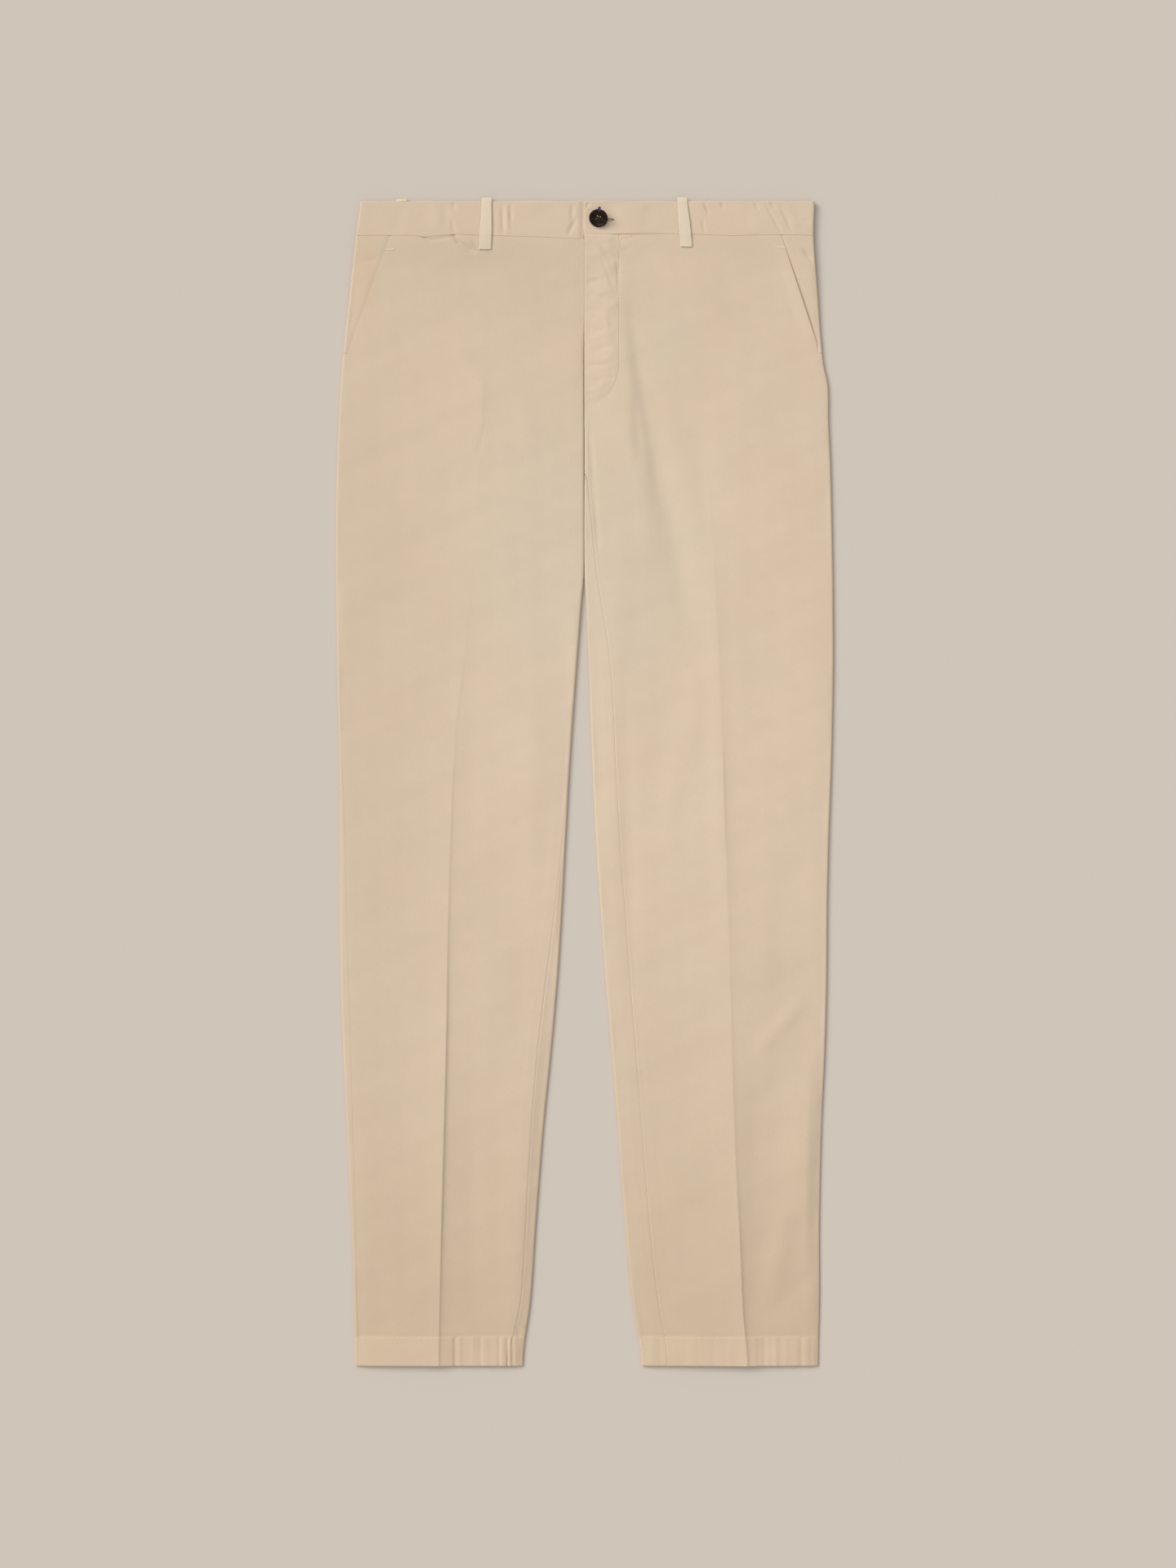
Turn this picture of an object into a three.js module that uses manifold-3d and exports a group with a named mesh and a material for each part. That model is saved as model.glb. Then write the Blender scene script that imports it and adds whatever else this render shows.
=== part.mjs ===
// Chino trousers laid flat on their back, the front facing up, as they come from the press.
// Millimetres. +X points to the wearer's left, +Y from the hems to the waist, +Z up from the surface.
// "drop" is a distance down the garment from the top edge of the waistband. Each leg is a flattened
// tube: its section runs over the top, round the outer fold, back underneath and round the inner fold.
import * as THREE from "three";
import { mergeVertices } from "three/addons/utils/BufferGeometryUtils.js";
import Module from "manifold-3d";

const wasm = await Module();
wasm.setup();

// Driving dimensions of the garment
const OUTSEAM = 1082.8;
const HEM_DEPTH = 27;
const BAND_DEPTH = 32;
const CROTCH_DROP = 249;
const FLY_END_DROP = 189.5;
const FLY_WIDTH = 32;
const CENTRE_FRONT = -0.5;
const ORIGIN_DROP = 539.7; // the drop of the part's origin, half-way along the whole garment

// Cloth
const CLOTH = 1.2;
const HEM_CLOTH = 2.0;
const BAND_CLOTH = 1.6;
const LOOP_CLOTH = 1.7;
const SEAM_GAP = 0.3;

// How it lies
const FOLD_RADIUS = 2.2;
const BAND_RADIUS = 2.4;
const WAIST_LIFT = 2.0; // the belt loops underneath hold the waist up by this much
const LIFT_FULL_TO = 50;
const LIFT_NONE_FROM = 125;
const HEM_RELIEF = 0.35;
const CENTRE_GAP = 0.25; // each side of the centre front groove

const FINISHES = {
  cloth: { color: 0xd6c1a8, roughness: 0.9, metalness: 0 },
  loop: { color: 0xdccab1, roughness: 0.9, metalness: 0 },
  button: { color: 0x2c241e, roughness: 0.35, metalness: 0 },
};

// The outline: where the outer and inner folds of each leg lie, away from the centre line
const OUTLINE = {
  left: [
    { drop: 0, outer: 213.6, inner: 0 },
    { drop: 32, outer: 212.9, inner: 0 },
    { drop: 86, outer: 216.6, inner: 0 },
    { drop: 150, outer: 222.0, inner: 0 },
    { drop: 171, outer: 226.2, inner: 0 },
    { drop: 205, outer: 226.9, inner: 0 },
    { drop: 249, outer: 228.8, inner: 0 },
    { drop: 346, outer: 230.8, inner: 0.1 },
    { drop: 372, outer: 231.0, inner: 1.6 },
    { drop: 432, outer: 231.2, inner: 4.2 },
    { drop: 519, outer: 229.6, inner: 7.4 },
    { drop: 587, outer: 227.2, inner: 10.6 },
    { drop: 655, outer: 225.7, inner: 15.0 },
    { drop: 724, outer: 225.1, inner: 20.0 },
    { drop: 792, outer: 223.3, inner: 25.8 },
    { drop: 860, outer: 220.2, inner: 31.2 },
    { drop: 952, outer: 218.4, inner: 38.2 },
    { drop: 1020, outer: 218.5, inner: 44.6 },
    { drop: 1083, outer: 217.2, inner: 53.2 },
  ],
  right: [
    { drop: 0, outer: 209.0, inner: 0 },
    { drop: 32, outer: 212.8, inner: 0 },
    { drop: 86, outer: 218.5, inner: 0 },
    { drop: 131, outer: 223.6, inner: 0 },
    { drop: 177, outer: 227.3, inner: 0 },
    { drop: 222, outer: 229.5, inner: 0 },
    { drop: 268, outer: 231.0, inner: 0 },
    { drop: 346, outer: 231.3, inner: 0.1 },
    { drop: 372, outer: 231.0, inner: 2.4 },
    { drop: 441, outer: 230.2, inner: 7.7 },
    { drop: 519, outer: 228.4, inner: 13.2 },
    { drop: 587, outer: 227.7, inner: 17.0 },
    { drop: 655, outer: 227.8, inner: 20.6 },
    { drop: 724, outer: 227.0, inner: 25.0 },
    { drop: 792, outer: 224.6, inner: 31.0 },
    { drop: 860, outer: 221.3, inner: 37.8 },
    { drop: 952, outer: 216.9, inner: 45.0 },
    { drop: 1020, outer: 214.9, inner: 49.6 },
    { drop: 1083, outer: 213.6, inner: 57.0 },
  ],
};

// Where the seams run on the front, in from each fold. Below zero a seam is round the fold's side.
const SEAMS = {
  left: [
    { drop: 235, inseam: -3.4, outseam: -3.4 },
    { drop: 262, inseam: 1.5, outseam: -3.4 },
    { drop: 346, inseam: 9.6, outseam: -3.4 },
    { drop: 432, inseam: 18.5, outseam: -3.4 },
    { drop: 519, inseam: 20.0, outseam: -3.4 },
    { drop: 700, inseam: 21.0, outseam: -3.4 },
    { drop: 860, inseam: 20.5, outseam: -3.4 },
    { drop: 952, inseam: 21.0, outseam: -2.6 },
    { drop: 1056, inseam: 22.5, outseam: -0.6 },
    { drop: 1083, inseam: 22.0, outseam: -0.6 },
  ],
  right: [
    { drop: 235, inseam: -3.4, outseam: -3.4 },
    { drop: 460, inseam: -3.4, outseam: -3.4 },
    { drop: 540, inseam: -1.6, outseam: 1.6 },
    { drop: 640, inseam: 3.6, outseam: 3.9 },
    { drop: 740, inseam: 9.4, outseam: 5.6 },
    { drop: 800, inseam: 10.6, outseam: 5.2 },
    { drop: 900, inseam: 8.6, outseam: 3.0 },
    { drop: 1010, inseam: 7.0, outseam: 1.2 },
    { drop: 1056, inseam: 9.6, outseam: 1.0 },
    { drop: 1083, inseam: 13.0, outseam: 1.0 },
  ],
};

// The lower edge of the waistband, which dips a little between the loops
const BAND_EDGE = [
  { x: -214, drop: BAND_DEPTH },
  { x: -122, drop: 31.1 },
  { x: -86, drop: 32.1 },
  { x: -34, drop: 33.6 },
  { x: -4.6, drop: 35.2 },
  { x: CENTRE_FRONT - 0.01, drop: 35.4 },
  { x: CENTRE_FRONT + 0.01, drop: 30.9 },
  { x: 79, drop: 30.1 },
  { x: 100, drop: 30.9 },
  { x: 136, drop: 32.2 },
  { x: 180, drop: 31.1 },
  { x: 214, drop: BAND_DEPTH },
];

// The pressed creases down the legs
const CREASES = {
  left: [
    { drop: 200, x: 110, height: 0 },
    { drop: 270, x: 115.5, height: 0.5 },
    { drop: 360, x: 121.6, height: 0.8 },
    { drop: 480, x: 127, height: 1.1 },
    { drop: 525, x: 128.8, height: 1.6 },
    { drop: 610, x: 131.7, height: 1.7 },
    { drop: 720, x: 135.2, height: 1.8 },
    { drop: 815, x: 137.7, height: 2.3 },
    { drop: 900, x: 140.8, height: 3.0 },
    { drop: 960, x: 144, height: 3.6 },
    { drop: 1030, x: 147, height: 3.9 },
    { drop: 1083, x: 151, height: 3.7 },
  ],
  right: [
    { drop: 150, x: -92, height: 0 },
    { drop: 200, x: -95, height: 0.7 },
    { drop: 270, x: -100, height: 0.4 },
    { drop: 400, x: -110, height: 0.5 },
    { drop: 480, x: -119, height: 0.9 },
    { drop: 545, x: -123, height: 1.6 },
    { drop: 620, x: -125.6, height: 1.9 },
    { drop: 700, x: -127.4, height: 2.3 },
    { drop: 770, x: -128.4, height: 2.8 },
    { drop: 860, x: -130.6, height: 3.0 },
    { drop: 940, x: -132.8, height: 3.2 },
    { drop: 1010, x: -134.4, height: 3.2 },
    { drop: 1083, x: -135.6, height: 3.0 },
  ],
};
const CREASE_RISE_WIDTH = 44; // how far out the cloth starts to climb to a crease on its -X flank
const CREASE_FALL_WIDTH = 14; // how soon it falls away on its +X flank
const EDGE_FADE = 12; // relief grows from nothing at a fold to its whole height this far in
const WAIST_FADE = 40; // and from nothing at the waistband
const HEAD_FADE = 60; // how far down a panel its rows are bent to the waistband's lower edge

// Soft folds: each is a line from one point to another, a ridge if its height is above zero
const FOLDS = [
  { name: "beside the fly", x1: 34, drop1: 110, x2: 62, drop2: 340, height: 1.2, width: 12 },
  { name: "thigh valley", x1: 36, drop1: 75, x2: 100, drop2: 410, height: -1.4, width: 11 },
  { name: "thigh ridge", x1: 76, drop1: 180, x2: 124, drop2: 400, height: 1.3, width: 14 },
  { name: "above the knee", x1: 112, drop1: 420, x2: 66, drop2: 620, height: 1.2, width: 15 },
  { name: "inside the left knee", x1: 36, drop1: 420, x2: 44, drop2: 760, height: -1, width: 8 },
  { name: "outer calf ridge", x1: 207, drop1: 738, x2: 157, drop2: 796, height: 1.5, width: 8 },
  { name: "outer calf valley", x1: 218, drop1: 776, x2: 150, drop2: 850, height: -0.7, width: 12 },
  { name: "outer knee hollow", x1: 190, drop1: 600, x2: 176, drop2: 800, height: -0.8, width: 15 },
  { name: "left shin ridge", x1: 208, drop1: 790, x2: 205, drop2: 1000, height: 1.7, width: 22 },
  { name: "left ankle ridge", x1: 196, drop1: 944, x2: 160, drop2: 1024, height: 1.2, width: 12 },
  { name: "right hip", x1: -190, drop1: 130, x2: -150, drop2: 420, height: -0.8, width: 22 },
  { name: "right seat", x1: -70, drop1: 90, x2: -40, drop2: 430, height: 1.1, width: 34 },
  { name: "right inner thigh", x1: -40, drop1: 380, x2: -56, drop2: 700, height: 0.9, width: 16 },
  { name: "right shin hollow", x1: -108, drop1: 820, x2: -104, drop2: 1040, height: -0.7, width: 12 },
  { name: "right shin ridge", x1: -38, drop1: 640, x2: -74, drop2: 1130, height: 1.2, width: 16 },
];

// Pocket mouths: slanted lines from the waistband to the side seam
const POCKETS = {
  left: { topX: 182.1, topDrop: 31.6, slope: 0.335 },
  right: { topX: 179.6, topDrop: 31, slope: 0.367 },
};
const POCKET_END_DROP = 141;
const POCKET_CLOSE = 2.5; // the front's edge runs out to the side seam over this drop
const MOUTH_FROM_FOLD = 2.6; // the mouth stops this far from the side fold
const FACING_TUCK = 12; // how far the facing goes in under the front
const FACING_DIP = CLOTH + SEAM_GAP;
const FACING_RISE = 7; // the facing comes up to the front's level this far from the mouth

// Fly placket, stitched on the front beside the centre front
const FLY_CLOTH = 1.0;
const FLY_CURVE = 1.25; // height of its round lower end, in fly widths
const FLY_STIFF = 14; // the front stays flat under the fly and for this far beside it
// The drops over which the front's centre edge turns down at the fly and on the other side
const FRONT_ROLL = { left: { from: FLY_END_DROP, over: 30 }, right: { from: 92, over: 60 } };
const CROTCH_SPAN = 28; // the inseams start over this drop

// Belt loops: x of the upper and lower end, the drops they span, and the face they lie on
const LOOPS = [
  { name: "loop_front_left", face: "front", xTop: 90.4, xLow: 94.6, dropTop: -3.4, dropLow: 42.8 },
  { name: "loop_front_right", face: "front", xTop: -90.8, xLow: -92.6, dropTop: -3.2, dropLow: 45.2 },
  { name: "loop_side_left", face: "back", xTop: 168, xLow: 168, dropTop: 0.6, dropLow: 44 },
  { name: "loop_side_right", face: "back", xTop: -170, xLow: -170, dropTop: -2.1, dropLow: 44 },
  { name: "loop_centre_back", face: "back", xTop: 0, xLow: 0, dropTop: 0.6, dropLow: 44 },
];
const LOOP_WIDTHS = { top: 9.2, low: 10.8 };
const LOOP_HOOK = 1.9; // how far the top end of a loop turns down over the waistband's edge
const LOOP_CLEAR = 0.35;

// Waist fastening
const OVERLAP_LIFT = BAND_CLOTH + SEAM_GAP;
const OVERLAP_FULL_TO = 38;
const OVERLAP_NONE_FROM = 78;
const UNDERLAP_END = 27;
const BUTTON = { x: 12.7, drop: 16.8, radius: 8.8, thickness: 2.6, tilt: 22, turn: -15, shank: 0.6 };
const SEWING_HOLES = { count: 4, ring: 1.75, radius: 0.95 };
const BUTTONHOLE = { x1: 6.5, x2: 27.2, drop: 17.1, width: 2, tip: 5 };
// The button's profile, in shares of its radius and thickness, from the back's middle to the front's
const BUTTON_PROFILE = [
  { out: 0, up: -0.5 },
  { out: 0.8, up: -0.5 },
  { out: 0.97, up: -0.2 },
  { out: 1, up: 0.12 },
  { out: 0.96, up: 0.42 },
  { out: 0.86, up: 0.5 },
  { out: 0.74, up: 0.36 },
  { out: 0.62, up: 0.1 },
  { out: 0.4, up: 0 },
  { out: 0, up: 0 },
];

const smooth = (t) => {
  const u = Math.min(1, Math.max(0, t));
  return u * u * (3 - 2 * u);
};
const mix = (a, b, t) => a + (b - a) * t;
const spread = (from, to, count) =>
  Array.from({ length: count + 1 }, (_, i) => mix(from, to, i / count));

// A column of a table read at any place, along a smooth curve through the table's rows
function read(rows, key, column, at) {
  if (at <= rows[0][key]) return rows[0][column];
  const last = rows.length - 1;
  if (at >= rows[last][key]) return rows[last][column];
  const i = rows.findIndex((row) => row[key] > at) - 1;
  const [a, b] = [rows[i], rows[i + 1]];
  const span = b[key] - a[key];
  const slope = (k) => {
    if (k <= 0 || k >= last) return 0;
    return (rows[k + 1][column] - rows[k - 1][column]) / (rows[k + 1][key] - rows[k - 1][key]);
  };
  const t = (at - a[key]) / span;
  const rise = b[column] - a[column];
  const [m0, m1] = [slope(i) * span, slope(i + 1) * span];
  return a[column] + t * (m0 + t * (3 * rise - 2 * m0 - m1 + t * (m0 + m1 - 2 * rise)));
}

// The same, with straight lines between the rows
function readStraight(rows, key, column, at) {
  const i = Math.max(1, rows.findIndex((row) => row[key] >= at));
  const [a, b] = [rows[i - 1], rows[i]];
  return mix(a[column], b[column], Math.min(1, Math.max(0, (at - a[key]) / (b[key] - a[key]))));
}

const liftAt = (drop) =>
  WAIST_LIFT * (1 - smooth((drop - LIFT_FULL_TO) / (LIFT_NONE_FROM - LIFT_FULL_TO)));
const bandEdgeAt = (x) => readStraight(BAND_EDGE, "x", "drop", Math.max(-213.9, Math.min(213.9, x)));
const hemShare = (drop) => smooth((drop - (OUTSEAM - HEM_DEPTH - 1)) / 2);
const clothAt = (drop) => mix(CLOTH, HEM_CLOTH, hemShare(drop));

function creaseHeight(side, x, drop) {
  const rows = CREASES[side];
  const from = x - read(rows, "drop", "x", drop);
  const width = from < 0 ? CREASE_RISE_WIDTH : CREASE_FALL_WIDTH;
  return read(rows, "drop", "height", drop) * Math.exp(-Math.abs(from) / width);
}

function foldHeight(x, drop) {
  let height = 0;
  for (const fold of FOLDS) {
    const [dx, dd] = [fold.x2 - fold.x1, fold.drop2 - fold.drop1];
    const length = Math.hypot(dx, dd);
    const along = ((x - fold.x1) * dx + (drop - fold.drop1) * dd) / length ** 2;
    if (along <= 0 || along >= 1) continue;
    const across = ((x - fold.x1) * dd - (drop - fold.drop1) * dx) / length / fold.width;
    height += fold.height * Math.sin(Math.PI * along) * Math.exp(-across * across);
  }
  return height;
}

// One side of the garment: where its section lies at a given drop
class Side {
  constructor(name) {
    this.name = name;
    this.sign = name === "left" ? 1 : -1;
  }

  // The folds' places across the garment
  edges(drop) {
    const rows = OUTLINE[this.name];
    const inner = CENTRE_FRONT + this.sign * (CENTRE_GAP + read(rows, "drop", "inner", drop));
    const outer = this.sign * read(rows, "drop", "outer", drop);
    return { inner, outer, flat: Math.abs(outer - inner) - 2 * FOLD_RADIUS };
  }

  // Height of the top surface over a flat lie. The fly's double cloth stays flat.
  relief(x, drop) {
    const { inner, outer } = this.edges(drop);
    const edge = Math.min(Math.abs(x - inner), Math.abs(x - outer)) - FOLD_RADIUS;
    const away = smooth(edge / EDGE_FADE);
    const body = smooth((drop - BAND_DEPTH) / WAIST_FADE);
    const stiff = this.name === "left" ? 1 - this.frontRoll(drop) : 0;
    const beside = smooth((x - FLY_WIDTH) / FLY_STIFF);
    const shape = creaseHeight(this.name, x, drop) + foldHeight(x, drop);
    return away * (body * shape * mix(1, beside, stiff) + HEM_RELIEF * hemShare(drop));
  }

  // A point of the section. "along" runs from the start of the inner fold over the top, round the
  // outer fold and back underneath; "inset" goes into the cloth. curl is 0 where the cloth's inner
  // edge lies flat at the centre seam and 1 where it turns round the inner fold of a leg.
  point(along, drop, inset, curl = 1) {
    const { inner, outer, flat } = this.edges(drop);
    const r = FOLD_RADIUS;
    const lift = liftAt(drop);
    const [top, half] = [lift + 2 * r, Math.PI * r];
    const turn = (distance, x0, way, high) => {
      const angle = Math.min(distance / r, Math.PI);
      const reach = (r - inset) * Math.sin(angle);
      const rise = (r - inset) * Math.cos(angle);
      return { x: x0 + way * reach, z: lift + r + (high ? rise : -rise) };
    };
    let place;
    if (along < 0) {
      const rolled = turn(-along, inner + this.sign * r, -this.sign, true);
      const level = { x: inner + this.sign * Math.max(0, r + along), z: top - inset };
      place = { x: mix(level.x, rolled.x, curl), z: mix(level.z, rolled.z, curl) };
    } else if (along <= flat) {
      const x = inner + this.sign * (r + along);
      place = { x, z: top - inset + this.relief(x, drop) };
    } else if (along <= flat + half) {
      place = turn(along - flat, outer - this.sign * r, this.sign, true);
    } else if (along <= 2 * flat + half) {
      place = { x: outer - this.sign * (r + along - flat - half), z: lift + inset };
    } else if (along <= 2 * flat + 2 * half) {
      const past = along - 2 * flat - half;
      const rolled = turn(past, inner + this.sign * r, -this.sign, false);
      const level = { x: inner + this.sign * Math.max(0, r - past), z: lift + inset };
      place = { x: mix(level.x, rolled.x, curl), z: mix(level.z, rolled.z, curl) };
    } else {
      const x = inner + this.sign * (r + along - 2 * flat - 2 * half);
      place = { x, z: top - inset + this.relief(x, drop) };
    }
    return new THREE.Vector3(place.x, ORIGIN_DROP - drop, place.z);
  }

  // A point on the outer or inner face of the cloth, with the first rows bent to meet the waistband
  clothPoint(along, drop, isInner, curl) {
    const { x } = this.point(along, drop, 0, curl);
    const { flat } = this.edges(drop);
    const dip = along < flat ? bandEdgeAt(x) - BAND_DEPTH : 0;
    const bent = drop + dip * (1 - smooth((drop - BAND_DEPTH) / HEAD_FADE));
    return this.point(along, bent, isInner ? clothAt(drop) : 0, curl);
  }

  // How far the front's inner edge is rolled down: not at all at the waist, whole down the leg
  frontRoll(drop) {
    const { from, over } = FRONT_ROLL[this.name];
    return smooth((drop - from) / over);
  }

  // 0 above the crotch, where the two sides meet at the centre seams, and 1 down the leg
  legShare(drop) {
    return smooth((drop - CROTCH_DROP) / CROTCH_SPAN + 0.5);
  }

  // Where the front panel starts, at the centre front or the inseam
  frontStart(drop) {
    const centre = -FOLD_RADIUS * (1 + 0.5 * this.frontRoll(drop));
    return mix(centre, read(SEAMS[this.name], "drop", "inseam", drop), this.legShare(drop));
  }

  outseam(drop) {
    return this.edges(drop).flat - read(SEAMS[this.name], "drop", "outseam", drop);
  }

  pocketMouth(drop) {
    const { topX, topDrop, slope } = POCKETS[this.name];
    const slant = this.alongAt(this.sign * (topX + slope * (drop - topDrop)), drop);
    return Math.min(slant, this.edges(drop).flat - MOUTH_FROM_FOLD);
  }

  // Where the front panel ends, at the pocket mouth or the outseam
  frontEnd(drop) {
    return drop <= POCKET_END_DROP + SEAM_GAP ? this.pocketMouth(drop) : this.outseam(drop);
  }

  alongAt(x, drop) {
    const { inner } = this.edges(drop);
    return this.sign * (x - inner) - FOLD_RADIUS;
  }
}

// A closed wall between an outer and an inner grid of points, facing out
function wall(outer, inner) {
  const [rows, cols] = [outer.length, outer[0].length];
  const grids = [...outer, ...inner].flat();
  const at = (layer, i, j) => layer * rows * cols + i * cols + j;
  const index = [];
  const quad = (a, b, c, d) => index.push(a, b, c, a, c, d);
  for (let i = 0; i < rows - 1; i++)
    for (let j = 0; j < cols - 1; j++) {
      quad(at(0, i, j), at(0, i + 1, j), at(0, i + 1, j + 1), at(0, i, j + 1));
      quad(at(1, i, j), at(1, i, j + 1), at(1, i + 1, j + 1), at(1, i + 1, j));
    }
  for (let i = 0; i < rows - 1; i++) {
    quad(at(0, i, 0), at(1, i, 0), at(1, i + 1, 0), at(0, i + 1, 0));
    quad(at(0, i, cols - 1), at(0, i + 1, cols - 1), at(1, i + 1, cols - 1), at(1, i, cols - 1));
  }
  for (let j = 0; j < cols - 1; j++) {
    quad(at(0, 0, j), at(0, 0, j + 1), at(1, 0, j + 1), at(1, 0, j));
    quad(at(0, rows - 1, j), at(1, rows - 1, j), at(1, rows - 1, j + 1), at(0, rows - 1, j + 1));
  }
  const volume = signedVolume(grids, index);
  if (volume < 0) index.reverse();
  const geometry = new THREE.BufferGeometry().setFromPoints(grids);
  geometry.setIndex(index);
  geometry.computeVertexNormals();
  return geometry;
}

function signedVolume(points, index) {
  let volume = 0;
  for (let i = 0; i < index.length; i += 3) {
    const [a, b, c] = [points[index[i]], points[index[i + 1]], points[index[i + 2]]];
    volume += a.dot(b.clone().cross(c)) / 6;
  }
  return volume;
}

const POCKET_DROPS = spread(BAND_DEPTH + SEAM_GAP, POCKET_END_DROP, 5);

// The drops of a leg's sections: close together where the cut changes, wide apart down the leg
function sectionDrops() {
  const pocketFoot = [SEAM_GAP, POCKET_CLOSE, 10, 30].map((below) => POCKET_END_DROP + below);
  const seatRows = spread(POCKET_END_DROP + 62, CROTCH_DROP - CROTCH_SPAN / 2, 1);
  const crotchRows = spread(CROTCH_DROP - CROTCH_SPAN / 4, CROTCH_DROP + CROTCH_SPAN / 2, 3);
  const hemLine = OUTSEAM - HEM_DEPTH;
  const legRows = spread(CROTCH_DROP + 42, hemLine - 30, 18);
  const hemRows = [hemLine - 1, hemLine + 1, hemLine + HEM_DEPTH / 2, OUTSEAM];
  return [...POCKET_DROPS, ...pocketFoot, ...seatRows, ...crotchRows, ...legRows, ...hemRows];
}

// Front panel: from the fly and the inseam across the crease to the pocket mouth and the outseam
function frontPanel(side) {
  const layer = (isInner) =>
    sectionDrops().map((drop) => {
      const [start, end] = [side.frontStart(drop), side.frontEnd(drop)];
      const creaseX = read(CREASES[side.name], "drop", "x", drop);
      const crease = side.alongAt(creaseX, drop);
      const level = Math.max(start, 0) + 2;
      const turn = Math.min(side.edges(drop).flat, end) - 1;
      const stops = [
        ...spread(start, level, 3),
        ...spread(level, crease, 5).slice(1),
        ...spread(crease, turn, 5).slice(1),
        ...spread(turn, end, 3).slice(1),
      ];
      const roll = side.frontRoll(drop);
      return stops.map((along) => side.clothPoint(along, drop, isInner, roll));
    });
  return wall(layer(false), layer(true));
}

// Back panel: from the outseam round the outer fold, underneath, and round the inner fold to the
// inseam. Above the crotch it ends at the centre back seam.
function backPanel(side) {
  const half = Math.PI * FOLD_RADIUS;
  const layer = (isInner) =>
    sectionDrops().map((drop) => {
      const { flat } = side.edges(drop);
      const leg = side.legShare(drop);
      const innerFold = 2 * flat + half;
      const inseam = innerFold + half + side.frontStart(drop) - SEAM_GAP;
      const end = mix(innerFold + FOLD_RADIUS, inseam, leg);
      const crest = Math.min(innerFold + half, end - 0.6);
      const stops = [
        ...spread(side.outseam(drop) + SEAM_GAP, flat + half, 4),
        ...spread(flat + half, innerFold, 3).slice(1),
        ...spread(innerFold, crest, 5).slice(1),
        ...spread(crest, end, 2).slice(1),
      ];
      return stops.map((along) => side.clothPoint(along, drop, isInner, leg));
    });
  return wall(layer(false), layer(true));
}

// Pocket facing: shows between the slanted mouth and the side, and goes in under the front
function pocketFacing(side) {
  const layer = (isInner) =>
    POCKET_DROPS.map((drop) => {
      const { flat } = side.edges(drop);
      const mouth = side.pocketMouth(drop);
      const end = side.outseam(drop);
      const shown = mouth + SEAM_GAP;
      const rise = Math.min(FACING_RISE, (flat - shown) * 0.9);
      const stops = [
        mouth - FACING_TUCK,
        mouth,
        ...spread(shown, shown + rise, 2),
        flat,
        ...spread(flat, end, 2).slice(1),
      ];
      return stops.map((along) => {
        const place = side.clothPoint(along, drop, isInner, 1);
        return place.setZ(place.z - FACING_DIP * (1 - smooth((along - shown) / rise)));
      });
    });
  return wall(layer(false), layer(true));
}

// Fly: the placket outlined by the curved stitching beside the centre front, lying on the front
function flyPlacket(side) {
  const top = bandEdgeAt(FLY_WIDTH / 2) + 2 * SEAM_GAP;
  const curveDrop = FLY_END_DROP - FLY_WIDTH * FLY_CURVE;
  const outlineX = (drop) => {
    const t = Math.min(1, Math.max(0, (drop - curveDrop) / (FLY_END_DROP - curveDrop)));
    return FLY_WIDTH * Math.sqrt(Math.max(0.01, 1 - t * t));
  };
  const drops = [...spread(top, curveDrop, 6), ...spread(curveDrop, FLY_END_DROP, 6).slice(1)];
  const layer = (isInner) =>
    drops.map((drop) =>
      spread(0, 1, 5).map((share) => {
        const along = outlineX(drop) * share - FOLD_RADIUS;
        const place = side.point(along, drop, 0, 0);
        return place.setZ(place.z + SEAM_GAP + (isInner ? 0 : FLY_CLOTH));
      }),
    );
  return wall(layer(false), layer(true));
}

// Waistband half: a flattened loop of double cloth from the front end, round the side, to the
// centre back. The left end lies over the right one's underlap.
function waistband(side) {
  const isLeft = side.name === "left";
  const r = BAND_RADIUS;
  const low = WAIST_LIFT;
  const frontXs = isLeft
    ? [CENTRE_FRONT + CENTRE_GAP, 14, OVERLAP_FULL_TO, 48, 58, 68, OVERLAP_NONE_FROM, 110, 150, 185]
    : [UNDERLAP_END, 14, CENTRE_FRONT + 0.2, CENTRE_FRONT - 1, -34, -64, -94, -122, -150, -182];
  const overlap = OVERLAP_NONE_FROM - OVERLAP_FULL_TO;
  const raise = (x) => (isLeft ? OVERLAP_LIFT * (1 - smooth((x - OVERLAP_FULL_TO) / overlap)) : 0);
  const lowerEdge = (x) => bandEdgeAt(x) - (!isLeft && x > CENTRE_FRONT ? 2 * SEAM_GAP : 0);
  const layer = (isInner) =>
    spread(0, 1, 3).map((share) => {
      const inset = isInner ? BAND_CLOTH : 0;
      const crest = side.edges(share * BAND_DEPTH).outer - side.sign * r;
      const place = (x, z, edge) => new THREE.Vector3(x, ORIGIN_DROP - share * edge, z);
      const front = frontXs.map((x) => place(x, low + 2 * r - inset + raise(x), lowerEdge(x)));
      const fold = spread(0, Math.PI, 6).map((angle) => {
        const reach = (r - inset) * Math.sin(angle);
        return place(crest + side.sign * reach, low + r + (r - inset) * Math.cos(angle), BAND_DEPTH);
      });
      const back = spread(crest, CENTRE_FRONT + side.sign * CENTRE_GAP, 3).slice(1);
      return [...front, ...fold, ...back.map((x) => place(x, low + inset, BAND_DEPTH))];
    });
  return wall(layer(false), layer(true));
}

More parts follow.
